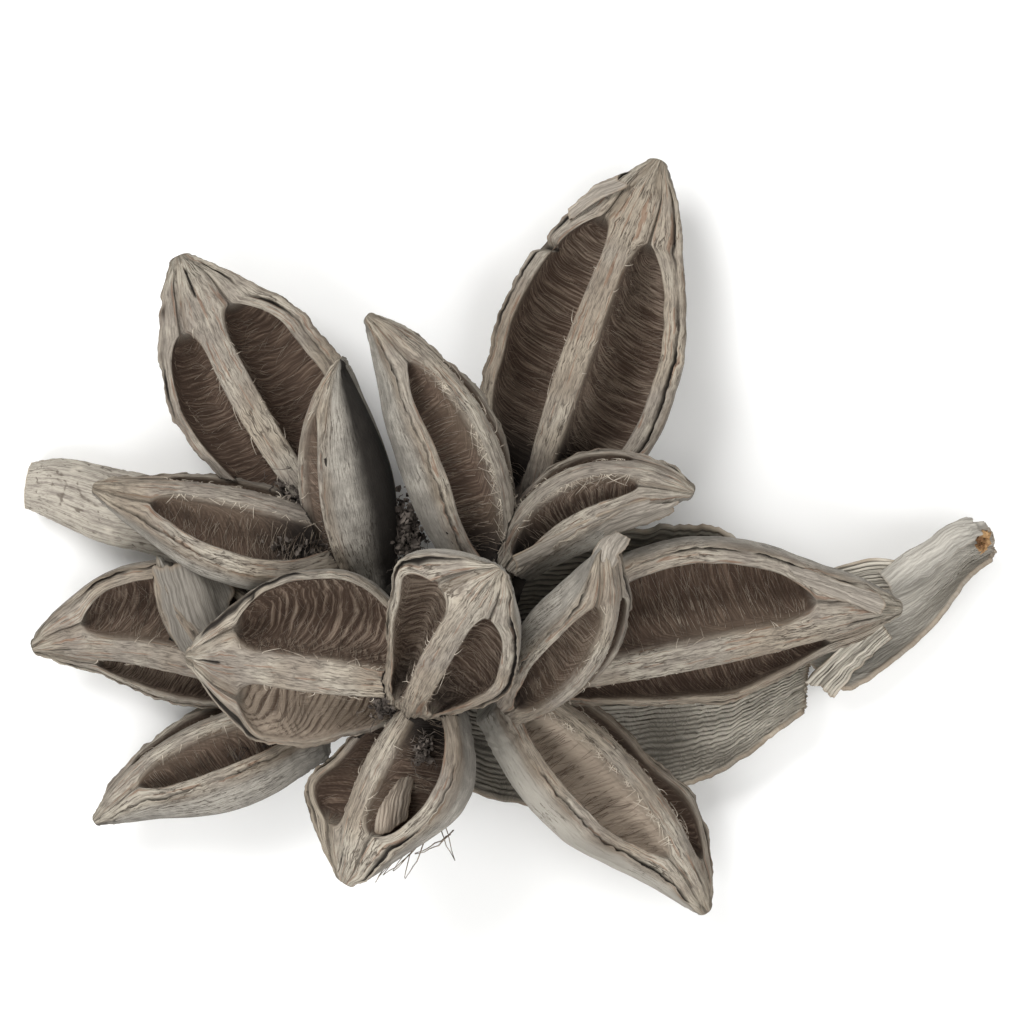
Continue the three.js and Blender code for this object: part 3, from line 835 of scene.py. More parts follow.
fringeThread = {
    "steps": 5, "thickness": 0.24, "from": 0.12, "height": [0.5, 1], "reach": [0.4, 2.2], "turn": 1.5,
    "rise": [0.2, 0.5], "out": 0.8, "start": 0.15, "droop": 0.9,
}


def ridgeFringe(valve, look, side, chance):
    # short curled threads along the worn edge of the ridge
    thread = fringeThread
    count = look["fringe"][sides[side]]
    u = chance.uniform(thread["from"], valve["mouth"][sides[side]], count)
    shape = halfShape(valve, side, u)
    lens = lensAt(look, u)
    edge = shape["septumEdge"] * np.stack([lens, 1 + 0 * lens], -1)
    spot = mix(shape["inner"], edge, chance.uniform(*thread["height"], count)[:, None])
    reach = chance.uniform(*thread["reach"], count)
    turn = chance.normal(0, thread["turn"], count)
    rising = chance.normal(*thread["rise"], count)
    centre, along, out, right = valveFrame(valve, u)
    strands = []
    for share in np.linspace(0, 1, thread["steps"]):
        bend = share * share * turn * reach
        sideways = reach * share * thread["out"] + thread["start"]
        upward = reach * (rising * share - thread["droop"] * share**2)
        flat = facing(spot + np.stack([sideways, upward], -1), side)
        strands.append(centre + right * flat[:, :1] + out * flat[:, 1:] + along * bend[:, None])
    return list(np.stack(strands, 1))


def addChamberHairs():
    for number, (name, valve) in enumerate(valves.items()):
        chance = np.random.default_rng(number + seeds["hair"])
        look = lookOf(name)
        count = int(chamberHair["count"] * (lengthOf(valve) / 100))
        hairs, fringe = [], []
        for side in sides:
            hairs += chamberHairs(valve, look, side, count, chance)
            fringe += ridgeFringe(valve, look, side, chance)
        fibres(name + "_hair", hairs, chamberHair["thickness"], "hair")
        fibres(name + "_fringe", fringe, fringeThread["thickness"], "fringe")


# Clumps of crumbled pulp where the capsules tore open: middle, size, crumbs, threads
clumps = {
    "clump_b1": {"at": [-60, 13, 36], "size": [5, 5, 5], "crumbs": 200, "threads": 60},
    "clump_b2": {"at": [-45, 3, 46], "size": [5, 5, 5], "crumbs": 120, "threads": 50},
    "clump_b3": {"at": [-60, -1, 40], "size": [8, 4, 3.5], "crumbs": 330, "threads": 110},
    # a dark clump put into the shade between valve_b2 and valve_a2: a painted shadow
    "shadow_clump_a2": {"at": [-30, 2, 40], "size": [5, 8, 7], "crumbs": 420, "threads": 60},
    "clump_a1": {"at": [-10, -3, 42], "size": [6, 6, 6], "crumbs": 200, "threads": 60},
    "clump_c2": {"at": [-26, -57, 64], "size": [3, 5, 4], "crumbs": 260, "threads": 60},
    "clump_c3": {"at": [-35, -46, 67], "size": [3, 3, 4], "crumbs": 200, "threads": 40},
    "clump_e1": {"at": [-66, -30, 30], "size": [8, 6, 5], "crumbs": 200, "threads": 50},
    "clump_e2": {"at": [-72, -57, 27], "size": [9, 3, 2], "crumbs": 200, "threads": 60},
    "clump_d2": {"at": [4, -46, 44], "size": [5, 4, 4], "crumbs": 100, "threads": 40},
}
brokenCore = {"at": [133.4, -1, 12.5], "size": [1.6, 2.6, 2], "crumbs": 90}
crumb = {"spread": 0.5, "sizes": [0.25, 1.1], "sharp": 0.4}
walk = {"spread": 0.55, "steps": 6, "turn": 0.7, "step": [0.6, 1.3], "thickness": [0.22, 0.32], "taper": 0.5}


def crumbs(name, look, finish, chance):
    # many small sharp lumps in one mesh
    mesh = bmesh.new()
    for _ in range(look["crumbs"]):
        made = bmesh.ops.create_icosphere(mesh, subdivisions=1, radius=1)
        spot = (np.array(look["at"]) + chance.normal(0, crumb["spread"], 3) * look["size"]) * mm
        turn = Euler(chance.uniform(0, 6.28, 3)).to_matrix()
        form = Vector(chance.uniform(*crumb["sizes"], 3) * mm)
        for vertex in made["verts"]:
            rough = vertex.co + Vector(chance.normal(0, crumb["sharp"], 3))
            vertex.co = turn @ (rough * form) + Vector(spot)
    data = bpy.data.meshes.new(name)
    mesh.to_mesh(data)
    mesh.free()
    data.materials.append(finishes[finish])
    item = added(name, data)
    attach(item, "root")


def wanderingThreads(look, chance):
    strands = []
    for _ in range(look["threads"]):
        spot = np.array(look["at"]) + chance.normal(0, walk["spread"], 3) * look["size"]
        turn = unit(chance.normal(0, 1, 3))
        strand = [spot]
        for _ in range(walk["steps"]):
            turn = unit(turn + chance.normal(0, walk["turn"], 3))
            strand.append(strand[-1] + turn * chance.uniform(*walk["step"]))
        strands.append(np.array(strand))
    return strands


def addClumps():
    chance = np.random.default_rng(seeds["clumps"])
    for name, look in clumps.items():
        crumbs(name, look, "tangle", chance)
        strands = wanderingThreads(look, chance)
        thickness = chance.uniform(*walk["thickness"])
        fibres(name + "_threads", strands, thickness, "tangle", walk["taper"])
    crumbs("beak_core", brokenCore, "pith", chance)


# Loose threads below the front capsule: where each starts and ends
looseThreads = [
    [[-24, -77, 56], [-37, -91, 50]], [[-22, -78, 56], [-33, -93, 49]], [[-20, -80, 55], [-36, -94, 50]],
    [[-25, -80, 57], [-38, -96, 51]], [[-17, -82, 54], [-27, -88, 50]], [[-27, -82, 57], [-39, -93, 52]],
    [[-21, -76, 57], [-16, -90, 50]], [[-24, -79, 56], [-30, -95, 50]],
]
bast = {"each": 2, "points": 9, "bow": 1.3, "spread": 0.7, "shake": 0.15, "thickness": 0.42, "taper": 0.5}


def addLooseThreads():
    chance = np.random.default_rng(seeds["threads"])
    strands = []
    for start, end in looseThreads:
        for _ in range(bast["each"]):
            share = np.linspace(0, 1, bast["points"])[:, None]
            bow = chance.normal(0, bast["bow"], 3) * np.sin(math.pi * share)
            near = np.array(start, float) + chance.normal(0, bast["spread"], 3)
            shake = chance.normal(0, bast["shake"], (bast["points"], 3))
            strands.append(mix(near, np.array(end, float), share) + bow + shake)
    fibres("loose_threads", strands, bast["thickness"], "bast", bast["taper"])


# The cut stalk and the stubby cores
stalkRows = [
    {"at": [-137, 14.5, 8.5], "half": 6.5},
    {"at": [-129, 13.5, 9.5], "half": 8.8},
    {"at": [-114, 8.7, 10.2], "half": 10.6},
    {"at": [-98, 5, 10.6], "half": 10.9},
    {"at": [-75, -3, 12], "half": 11.5},
    {"at": [-50, -15, 14], "half": 11.5},
    {"at": [-22, -27, 17], "half": 9.5},
    {"at": [4, -32, 18], "half": 7},
]
barkRidges = 7
barkDepth = 0.03
stalkEndReach = 0.8
cores = {
    "core_a": [{"at": [-8, -26, 18], "half": 7}, {"at": [-6, -16, 30], "half": 8},
               {"at": [-3, -10, 42], "half": 7}],
    "core_b": [{"at": [-56, -13, 15], "half": 8}, {"at": [-50, -8, 26], "half": 9},
               {"at": [-46, -5, 38], "half": 7}],
    "core_c": [{"at": [-30, -24, 18], "half": 8}, {"at": [-27, -34, 38], "half": 9},
               {"at": [-25, -42, 62], "half": 7}],
    "core_d": [{"at": [-2, -32, 20], "half": 7}, {"at": [1, -38, 32], "half": 8},
               {"at": [3, -42, 46], "half": 6}],
    "core_e": [{"at": [-50, -22, 15], "half": 7}, {"at": [-58, -34, 22], "half": 9},
               {"at": [-62, -42, 28], "half": 7}],
}


def stalkFrame(rows, t):
    path = lineAt([row["at"] for row in rows], t)
    half = lineAt([[row["half"]] for row in rows], t)[:, 0]
    onward = unit(np.gradient(path, axis=0))
    side = unit(np.cross([0, 0, 1], onward))
    return path, half, side, np.cross(onward, side)


def stalkPoints(rows, sideCount, steps, grow=0):
    t = np.linspace(0, 1, steps)
    path, half, side, up = stalkFrame(rows, t)
    angle = np.linspace(0, 2 * math.pi, sideCount + 1)[None, :, None]
    size = half[:, None, None] * (1 + barkDepth * np.cos(barkRidges * angle)) + grow
    return path[:, None] + size * (np.cos(angle) * side[:, None] + np.sin(angle) * up[:, None])


def middlesOf(points):
    return points[:, :-1].mean(1, keepdims=True)


def plainStalk(rows, grow):
    points = stalkPoints(rows, 16, 12, grow)
    reach = stalkEndReach + grow
    return gridPiece("cutter", beyondEnds(points, middlesOf(points), reach, reach), closed=True)


def outwards(points):
    # the normals of a ring, turned away from its middle
    normals = normalsOf(points, True)
    inward = ((points - middlesOf(points)) * normals).sum(-1).mean() <= 0
    return -normals if inward else normals


def sawnEnds(points, rings=8):
    # closes the first end with a slightly hollow sawn face and shuts the last one
    middles = middlesOf(points)
    onward = unit(middles[0] - middles[1])
    face = []
    for s in np.linspace(0.04, 0.96, rings):
        hollow = onward * stalkEndReach * (1 - s**3) * 0.6
        face.append(middles[0] + (points[0] - middles[0]) * s + hollow)
    nothing = 0 * points[:1]
    return np.concatenate([middles[:1] + nothing, np.stack(face), points, middles[-1:] + nothing])


# The bark: noise cells round the stalk, heights, widths of the cracks and where the painted shade under the
# capsules starts
bark = {
    "cells": 3.0, "lump": 0.25, "crackDepth": 0.35, "line": 0.2, "thinCrack": 0.06, "wideCrack": 0.035,
    "shadedFrom": [-105, -75], "mapWidth": 60,
}


def fineStalk(name, look, number):
    rows, sideCount = look["rows"], look["sides"]
    length = sum(np.linalg.norm(np.diff([row["at"] for row in rows], axis=0), axis=1))
    points = stalkPoints(rows, sideCount, int(length / look["step"]))
    around = np.linspace(0, 1, sideCount + 1)[None]
    along = np.linspace(0, length, len(points))[:, None] + 0 * around
    x = bark["cells"] * np.cos(2 * math.pi * around) + 0 * along
    y = bark["cells"] * np.sin(2 * math.pi * around) + 0 * along
    seed = seeds["stalk"] + seeds["nextStalk"] * number
    lines = np.abs(noiseAt(x * 3.2, y * 3.2, along / 16, seed=seed))
    wave = np.abs(noiseAt(x * 1.3, y * 1.3, along / 5, seed=seed + 1))
    crack = np.minimum(np.exp(-lines / bark["thinCrack"]) + np.exp(-wave / bark["wideCrack"]), 1)
    lump = bark["lump"] * roughAt(x, y, along / 7, seed=seed + 2)
    knots = look["rough"] * roughAt(x * 2.6, y * 2.6, along / 1.8, seed=seed + 3)
    relief = lump + knots - bark["crackDepth"] * crack + bark["line"] * lines
    points = points + outwards(points) * relief[..., None]
    shut = sawnEnds(points)
    before = len(shut) - len(points) - 1
    # painted shade on the stalk where it runs under the capsules; the cores lie wholly in it
    marks = {"crack": crack, "relief": relief, "unshaded": 1 - ramp(points[..., 0], *bark["shadedFrom"]) * 0.9}
    marks = {mark: padded(values, before, 1) for mark, values in marks.items()}
    marks["cutFace"] = (np.arange(len(shut)) <= before)[:, None] + 0 * marks["relief"]
    uv = np.stack([around * bark["mapWidth"] + 0 * along, along], -1)
    return gridPiece(name + "_fine", shut, padded(uv, before, 1), marks, closed=True)


# The torn spathe, a ribbed trough that folds up into a beak on the right
spatheStations = [
    {"upper": [-50, -8, 18], "keel": [-54, -24, 5], "lower": [-50, -44, 14]},
    {"upper": [-24, -8, 22], "keel": [-26, -34, 2], "lower": [-26, -64, 14]},
    {"upper": [2, 0, 30], "keel": [2, -36, 1.4], "lower": [0, -76, 14]},
    {"upper": [36, 3, 33], "keel": [38, -36, 1.4], "lower": [36, -73.5, 16]},
    {"upper": [58, 3, 32], "keel": [60, -34, 1.8], "lower": [58, -67, 18]},
    {"upper": [70, -7, 29], "keel": [80, -30, 4], "lower": [80, -51, 20]},
    {"upper": [92, -10, 25], "keel": [91, -28, 5], "lower": [89, -45, 15]},
    {"upper": [105, -7, 25], "keel": [102, -24, 5], "lower": [98, -42, 13]},
    {"upper": [114, -7, 26], "keel": [114, -18, 5], "lower": [110, -33.5, 12]},
    {"upper": [122, 0, 24], "keel": [124, -9, 6], "lower": [121, -22.5, 12]},
    {"upper": [129, 3, 20], "keel": [131, -3, 7], "lower": [129, -12, 12]},
    {"upper": [134, 4, 16], "keel": [137.5, -1, 8], "lower": [136, -6, 11]},
]

# The wide trough and the beak: where each ends or starts at its upper edge, keel and lower edge
spathe = {
    "ribs": 52, "height": 0.55, "thickness": 1.4, "crumple": 0.5, "rows": 92, "columns": 216,
    "torn": [0.5, 0.49, 0.478],
}
beak = {
    "ribs": 26, "height": 0.16, "thickness": 1.4, "crumple": 0.5, "rows": 90, "columns": 76,
    "from": [0.43, 0.44, 0.6], "raised": 1.1,
}


def troughPoints(t, s):
    # points of the trough at the shares t along it and s across it, both (rows, columns)
    edges = []
    for line in ("upper", "keel", "lower"):
        stations = [station[line] for station in spatheStations]
        edges.append(lineAt(stations, t.ravel()).reshape(*t.shape, 3))
    upper, keel, lower = edges
    control = 2 * keel - (upper + lower) / 2
    s = s[..., None]
    return upper * (1 - s) ** 2 + control * 2 * s * (1 - s) + lower * s * s


def torn(place, seed):
    return np.maximum(0, 0.5 + 0.7 * roughAt(place, seed=seed, octaves=4))


def raggedShares(rows, columns, size, low, high, seed):
    # a grid of shares whose borders are torn: low and high are how far each end is torn away
    t = np.linspace(0, 1, rows)[:, None]
    s = np.linspace(0, 1, columns)[None]
    left = low[1] * torn(t * size[0] / 3, seed)
    right = high[1] * torn(t * size[0] / 3, seed + 5)
    near = low[0] * torn(s * size[1] / 3, seed + 10)
    far = high[0] * torn(s * size[1] / 3, seed + 15)
    across = left + (1 - left - right) * s
    along = near + (1 - near - far) * t
    return along + 0 * across, across + 0 * along


def edgeMark(size):
    # 1 on the border of a sheet and 0 a few points further in
    steps = [np.minimum(np.arange(n), n - 1 - np.arange(n)) for n in size]
    return np.clip(1 - np.minimum(steps[0][:, None], steps[1][None]) / 2.5, 0, 1)


def ribbedSheet(name, points, look, unshaded, seed):
    # a dry sheet with ribs along it, made from a grid of points
    normal = normalsOf(points, False)
    normal = normal * (1 if normal[..., 2].mean() > 0 else -1)
    across = spread(points.swapaxes(0, 1)).T
    along = spread(points)
    share = np.linspace(0, 1, points.shape[1])[None]
    wander = 0.6 * noiseAt(share * 9, along / 25, seed=seed)
    wander = wander + 0.25 * noiseAt(share * 40, along / 9, seed=seed + 6)
    rib = (0.5 + 0.5 * np.cos(2 * math.pi * (share * look["ribs"] + wander))) ** 1.4
    strength = 0.65 + 0.35 * noiseAt(share * 14, along / 18, seed=seed + 1)
    fine = 0.12 * roughAt(across / 1.5, along / 5, seed=seed + 2)
    relief = look["height"] * (rib - 0.4) * strength + fine
    lift = look["crumple"] * roughAt(along / 14, across / 9, seed=seed + 3)
    lift = lift + 0.6 * (look["crumple"] - 0.5) * roughAt(along / 3, across / 4, seed=seed + 4)
    points = points + normal * (relief + lift)[..., None]
    marks = {"relief": relief, "unshaded": unshaded, "rib": rib * strength, "edge": edgeMark(points.shape[:2])}
    item = gridPiece(name, points, np.stack([across, along], -1), marks)
    wall = item.modifiers.new("wall", "SOLIDIFY")
    wall.thickness = look["thickness"] * mm
    wall.offset = 0
    return item


def isInside(tree, place, deeper):
    # whether a place lies in a solid by more than the given depth
    spot, normal, _, gap = tree.find_nearest(place, 40 * mm)
    return spot is not None and gap > deeper and (Vector(place) - spot).dot(normal) < 0


def insideOf(trees, places, deeper):
    inside = np.zeros(len(places), bool)
    for tree in trees:
        for k in np.flatnonzero(~inside):
            inside[k] = isInside(tree, places[k], deeper)
    return inside


def dropFaces(item, gone):
    # drops the faces whose vertices are all gone
    mesh = bmesh.new()
    mesh.from_mesh(item.data)
    mesh.verts.ensure_lookup_table()
    doomed = [face for face in mesh.faces if all(gone[v.index] for v in face.verts)]
    bmesh.ops.delete(mesh, geom=doomed, context="FACES")
    mesh.to_mesh(item.data)
    mesh.free()


def fineSpathe(trees):
    # the wide trough, up to where it is torn off and without what the other pieces fill
    look = spathe
    size = (190, 90)
    t, s = raggedShares(look["rows"], look["columns"], size, (0.03, 0.02), (0.01, 0.015), seeds["trough"])
    end = smoothAt(look["torn"], s) + 0.012 * roughAt(s * 30, seed=seeds["troughEnd"])
    points = troughPoints(t * end, s)
    # painted shade on the spathe below the valves, where they shade it
    under = (1 - ramp(points[..., 0] - 0.5 * points[..., 1], 5, 80)) * ramp(-points[..., 1], 5, 30)
    item = ribbedSheet("spathe_fine", points, look, 1 - 0.5 * under, seeds["spathe"])
    dropFaces(item, insideOf(trees, (points * mm).reshape(-1, 3), 0.9 * mm))
    return item


def addBeak():
    # the folded end of the spathe, smooth inside
    look = beak
    size = (60, 40)
    t, s = raggedShares(look["rows"], look["columns"], size, (0.02, 0.02), (0.03, 0.02), seeds["beakEdge"])
    start = smoothAt(look["from"], s)
    points = troughPoints(start + (1 - start) * t, s)
    points[..., 2] += look["raised"] * (1 - ramp(t, 0.1, 0.3))
    item = ribbedSheet("beak", points, look, 1 + 0 * t, seeds["beak"])
    item.data.materials.append(finishes["beak"])
    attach(item, "root")


# Torn pieces of sheet, with control points in rows along and across, and how much each end is torn
tornPieces = {
    "torn_strip": {
        "rows": [[[103, -22, 11], [108, -29, 10]], [[91, -33, 13.5], [99, -36.5, 13]],
                 [[82.5, -41, 14.5], [90, -47.5, 13.5]]],
        "ribs": 9, "height": 0.7, "torn": [0.0, 0.12], "grid": [60, 54], "finish": "spathe",
    },
    "torn_shred": {
        "rows": [[[90, -9, 27], [92, -16, 24]], [[101, -6, 27], [103, -15, 22]],
                 [[110.5, -6.5, 25], [111, -14, 20]]],
        "ribs": 8, "height": 0.55, "torn": [0.05, 0.05], "grid": [50, 44], "finish": "spathe",
    },
    "beak_roll": {
        "rows": [[[104, -13.5, 18], [103.5, -10.5, 25], [106, -14, 27], [106.5, -17, 23]],
                 [[110, -9, 19], [109.5, -6, 26.5], [113, -9, 28], [115, -12.5, 24]],
                 [[117, -4.5, 18], [116.5, -1.5, 25.5], [120, -4, 27], [122, -8, 23]],
                 [[124, 0.5, 16], [123.5, 3.5, 22.5], [127, 1, 24.5], [128.5, -2.5, 21]],
                 [[130, 3.5, 13.5], [130, 5.5, 18.5], [132.5, 3.5, 20], [133.5, 0.5, 18]]],
        "ribs": 14, "height": 0.25, "torn": [0.02, 0.16], "grid": [84, 40], "finish": "beak",
    },
    "flap_a1": {
        "rows": [[[15.5, 89, 22], [15.3, 92, 21.5]], [[25, 95.5, 25.5], [24, 99.5, 23]],
                 [[34, 99.5, 27.5], [33.5, 103.8, 25]]],
        "ribs": 4, "height": 0.2, "torn": [0.08, 0.2], "grid": [60, 18], "finish": "flap",
    },
    "flap_e3": {
        "rows": [[[-101, -8, 39], [-91, -5.5, 44], [-79, -9, 41]],
                 [[-98.5, -17, 42], [-89, -17, 47.5], [-77, -16, 42]],
                 [[-95.5, -26, 40.5], [-87, -27, 45], [-80, -26, 40]],
                 [[-92, -32, 36], [-86, -33, 39.5], [-82, -32, 36]]],
        "ribs": 3, "height": 0.08, "torn": [0.1, 0.07], "grid": [48, 48], "finish": "oldFlap",
    },
    "flap_d3": {
        "rows": [[[20.5, -9, 92.5], [23.5, -7.5, 94.5], [27, -10, 91]],
                 [[22, -5, 93.5], [25, -3.5, 96], [29, -6, 91.5]],
                 [[24, -1.5, 92.5], [27, 0, 95], [31, -2.5, 90.5]],
                 [[27, 1.5, 90], [29, 2.5, 92], [33, 0.5, 88.5]]],
        "ribs": 3, "height": 0.3, "torn": [0.0, 0.22], "grid": [50, 44], "finish": "flap",
    },
    "flap_a3": {
        "rows": [[[0, -5, 57.5], [0.5, -8, 56], [-0.5, -11, 52]],
                 [[13, 1.5, 64.5], [14, -2, 63], [14.5, -5, 58]],
                 [[29, 8.5, 68], [30, 5, 66.5], [31, 1.5, 61]],
                 [[45, 13, 63], [46.5, 10, 62.5], [47.5, 7.5, 58]]],
        "ribs": 5, "height": 0.25, "torn": [0.03, 0.14], "grid": [110, 26], "finish": "flap",
    },
    "flap_d1": {
        "rows": [[[76, -7, 48.5], [77.5, -9.5, 49.5], [77, -12, 47.5]],
                 [[86, -10, 45.5], [87.5, -13, 46.8], [87, -16, 44.5]],
                 [[96, -14, 42], [97.5, -16.5, 43.5], [97, -19.5, 41]],
                 [[104.5, -17, 38.5], [106, -19.5, 40], [105.5, -22, 37.5]]],
        "ribs": 3, "height": 0.25, "torn": [0.04, 0.12], "grid": [70, 26], "finish": "flap",
    },
    "pulp_c2": {
        "rows": [[[-43, -81, 63], [-36, -83, 66], [-29, -78, 62]],
                 [[-40, -71, 64], [-34, -72, 67], [-27, -69, 61]],
                 [[-32, -60, 64], [-29, -60, 65], [-26, -59, 61]]],
        "ribs": 14, "height": 0.25, "torn": [0.06, 0.1], "grid": [42, 48], "finish": "pulp",
    },
}
skinFinishes = ("flap", "oldFlap", "pulp")
crumpled = {"flap": 1.3, "oldFlap": 1.3}
tornThickness = 0.8


def throughRows(controls, t):
    # the place of each line of control points at the shares t (rows, columns)
    steps = 3 * len(t)
    lines = curveAt(controls, np.linspace(0, 1, steps)[:, None] + np.zeros((1, controls.shape[1])))
    at = np.clip(t * (steps - 1), 0, steps - 1)
    places = []
    for line in lines.swapaxes(0, 1):
        places.append(np.stack([np.interp(at, np.arange(steps), axis) for axis in line.T], -1))
    return np.stack(places)


def tornPiece(name, look, seed):
    controls = np.array(look["rows"], float)
    size = [np.linalg.norm(corner - controls[0, 0]) for corner in (controls[-1, 0], controls[0, -1])]
    low, high = (look["torn"][0], 0.02), (look["torn"][1], look["torn"][1] * 0.8)
    t, s = raggedShares(*look["grid"], size, low, high, seed)
    flat = throughRows(controls, t).reshape(controls.shape[1], t.size, 3)
    points = curveAt(flat, s.reshape(1, -1))[0].reshape(*t.shape, 3)
    sheet = {**look, "thickness": tornThickness, "crumple": crumpled.get(look["finish"], 0.5)}
    return ribbedSheet(name, points, sheet, 1 + 0 * t, seed + seeds["tornSheet"])


def addTornPieces():
    for number, (name, look) in enumerate(tornPieces.items()):
        piece = tornPiece(name, look, seeds["torn"] + seeds["nextTorn"] * number)
        piece.data.materials.append(finishes[look["finish"]])
        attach(piece, "root")
        "valve" if look["finish"] in skinFinishes else "spathe"


def buildAll():
    # each piece makes room for the ones in front of it, as in the CAD
    cutters, pieces = [], {}
    for name, valve in valves.items():
        pieces[name] = keepLargest(cutAway(fineValve(name, valve), cutters))
        cutters.append(plainValve("cutter", valve, clearance))
    stalks = {"peduncle": {"rows": stalkRows, "sides": 88, "step": 0.95, "rough": 0.15}}
    for name, rows in cores.items():
        stalks[name] = {"rows": rows, "sides": 48, "step": 0.9, "rough": 1.1}
    for number, (name, look) in enumerate(stalks.items()):
        pieces[name] = keepLargest(cutAway(fineStalk(name, look, number), cutters))
        cutters.append(plainStalk(look["rows"], clearance))
    graph = bpy.context.evaluated_depsgraph_get()
    pieces["spathe"] = fineSpathe([BVHTree.FromObject(cutter, graph) for cutter in cutters])
    for cutter in cutters:
        bpy.data.objects.remove(cutter)
    return pieces


pieces = buildAll()
for name, piece in pieces.items():
    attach(piece, "root")
    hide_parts(name)
print("pieces built", len(pieces))


# Materials
class Link:
    # a socket of a material's nodes that can be used in sums
    def __init__(self, finish, socket):
        self.finish = finish
        self.socket = socket

    def maths(self, operation, *values):
        return self.finish.node("ShaderNodeMath", {"operation": operation}, values)

    def __add__(self, other):
        return self.maths("ADD", self, other)

    __radd__ = __add__

    def __sub__(self, other):
        return self.maths("SUBTRACT", self, other)

    def __rsub__(self, other):
        return self.maths("SUBTRACT", other, self)

    def __mul__(self, other):
        return self.maths("MULTIPLY", self, other)

    __rmul__ = __mul__

    def ramp(self, low, high):
        # 0 below low, 1 above high
        smooth = {"interpolation_type": "SMOOTHSTEP"}
        return self.finish.node("ShaderNodeMapRange", smooth, (self, low, high))


class Finish:
    # one material and the ways to add nodes to it
    def __init__(self, name):
        self.material = bpy.data.materials.new(name)
        self.material.use_nodes = True
        self.nodes = self.material.node_tree.nodes
        self.shader = self.nodes["Principled BSDF"]

    def put(self, socket, value):
        if isinstance(value, Link):
            self.material.node_tree.links.new(value.socket, socket)
        elif isinstance(value, (tuple, list)) and socket.type == "RGBA":
            socket.default_value = (*value, 1)
        else:
            socket.default_value = value

    def node(self, kind, settings=None, values=(), output=0):
        made = self.nodes.new(kind)
        for key, value in (settings or {}).items():
            setattr(made, key, value)
        places = values.items() if isinstance(values, dict) else enumerate(values)
        for place, value in places:
            self.put(made.inputs[place], value)
        return Link(self, made.outputs[output])

    def mark(self, name):
        return self.node("ShaderNodeAttribute", {"attribute_name": name}, output=2)

    def blend(self, share, first, second):
        return self.node("ShaderNodeMix", {"data_type": "RGBA"}, {0: share, 6: first, 7: second}, 2)

    def grained(self, scale, detail=4.0, across=1.0, along=1.0, rough=0.55, shift=0.0):
        # noise on the piece's own surface map, stretched along it
        surface = self.node("ShaderNodeUVMap", {"uv_map": "surface"})
        settings = {"vector_type": "POINT"}
        placed = self.node("ShaderNodeMapping", settings,
                           {0: surface, 1: (shift, shift, shift), 3: (scale * across, scale * along, 1)})
        return self.node("ShaderNodeTexNoise", {"noise_dimensions": "2D"},
                         {"Vector": placed, "Detail": detail, "Roughness": rough, "Scale": 1.0})

    def speckled(self, scale, detail=4.0, rough=0.55):
        # noise in the room, on Object coordinates
        place = self.node("ShaderNodeTexCoord", output=3)
        return self.node("ShaderNodeTexNoise", {}, {"Vector": place, "Scale": scale, "Detail": detail,
                                                    "Roughness": rough})

    def done(self, colour, roughness, height, strength, distance):
        self.put(self.shader.inputs["Base Color"], colour)
        self.put(self.shader.inputs["Roughness"], roughness)
        raised = {"Strength": strength, "Distance": distance, "Height": height}
        self.put(self.shader.inputs["Normal"], self.node("ShaderNodeBump", {}, raised))
        self.shader.inputs["Specular IOR Level"].default_value = 0.25
        return self.material


# the colour of painted shade: at the valves' inner ends, on a shaded back, in the splits, on the spathe
# under the valves and on the stalk under the capsules
paintedShade = (0.014, 0.011, 0.009)
# painted shade in the valleys between the ribs of a sheet
ribValley = (0.05, 0.043, 0.036)
tornEdge = (0.3, 0.23, 0.16)
reliefScale = 0.0006  # metres of bump
threadRelief = 0.0002
valveColours = {
    "face": (0.27, 0.235, 0.197), "facePale": (0.46, 0.415, 0.34), "faceTan": (0.3, 0.235, 0.165),
    "faceDark": (0.12, 0.098, 0.078), "skin": (0.24, 0.222, 0.193), "skinPale": (0.42, 0.39, 0.338),
    "skinDark": (0.11, 0.094, 0.078), "lining": (0.27, 0.19, 0.138), "liningPale": (0.52, 0.43, 0.34),
    "liningDark": (0.095, 0.063, 0.046), "rust": (0.2, 0.1, 0.055), "line": (0.06, 0.042, 0.03),
    "lip": (0.13, 0.098, 0.068),
}


def combedHair(f):
    # noise drawn out along the hairs of a chamber
    surface = f.node("ShaderNodeUVMap", {"uv_map": "surface"})
    across = f.node("ShaderNodeSeparateXYZ", {}, (surface,))
    place = f.node("ShaderNodeCombineXYZ", {}, (f.mark("combed") * 1.9, across * 0.11))
    return f.node("ShaderNodeTexNoise", {"noise_dimensions": "2D"},
                  {"Vector": place, "Scale": 1.0, "Detail": 5.0, "Roughness": 0.6})


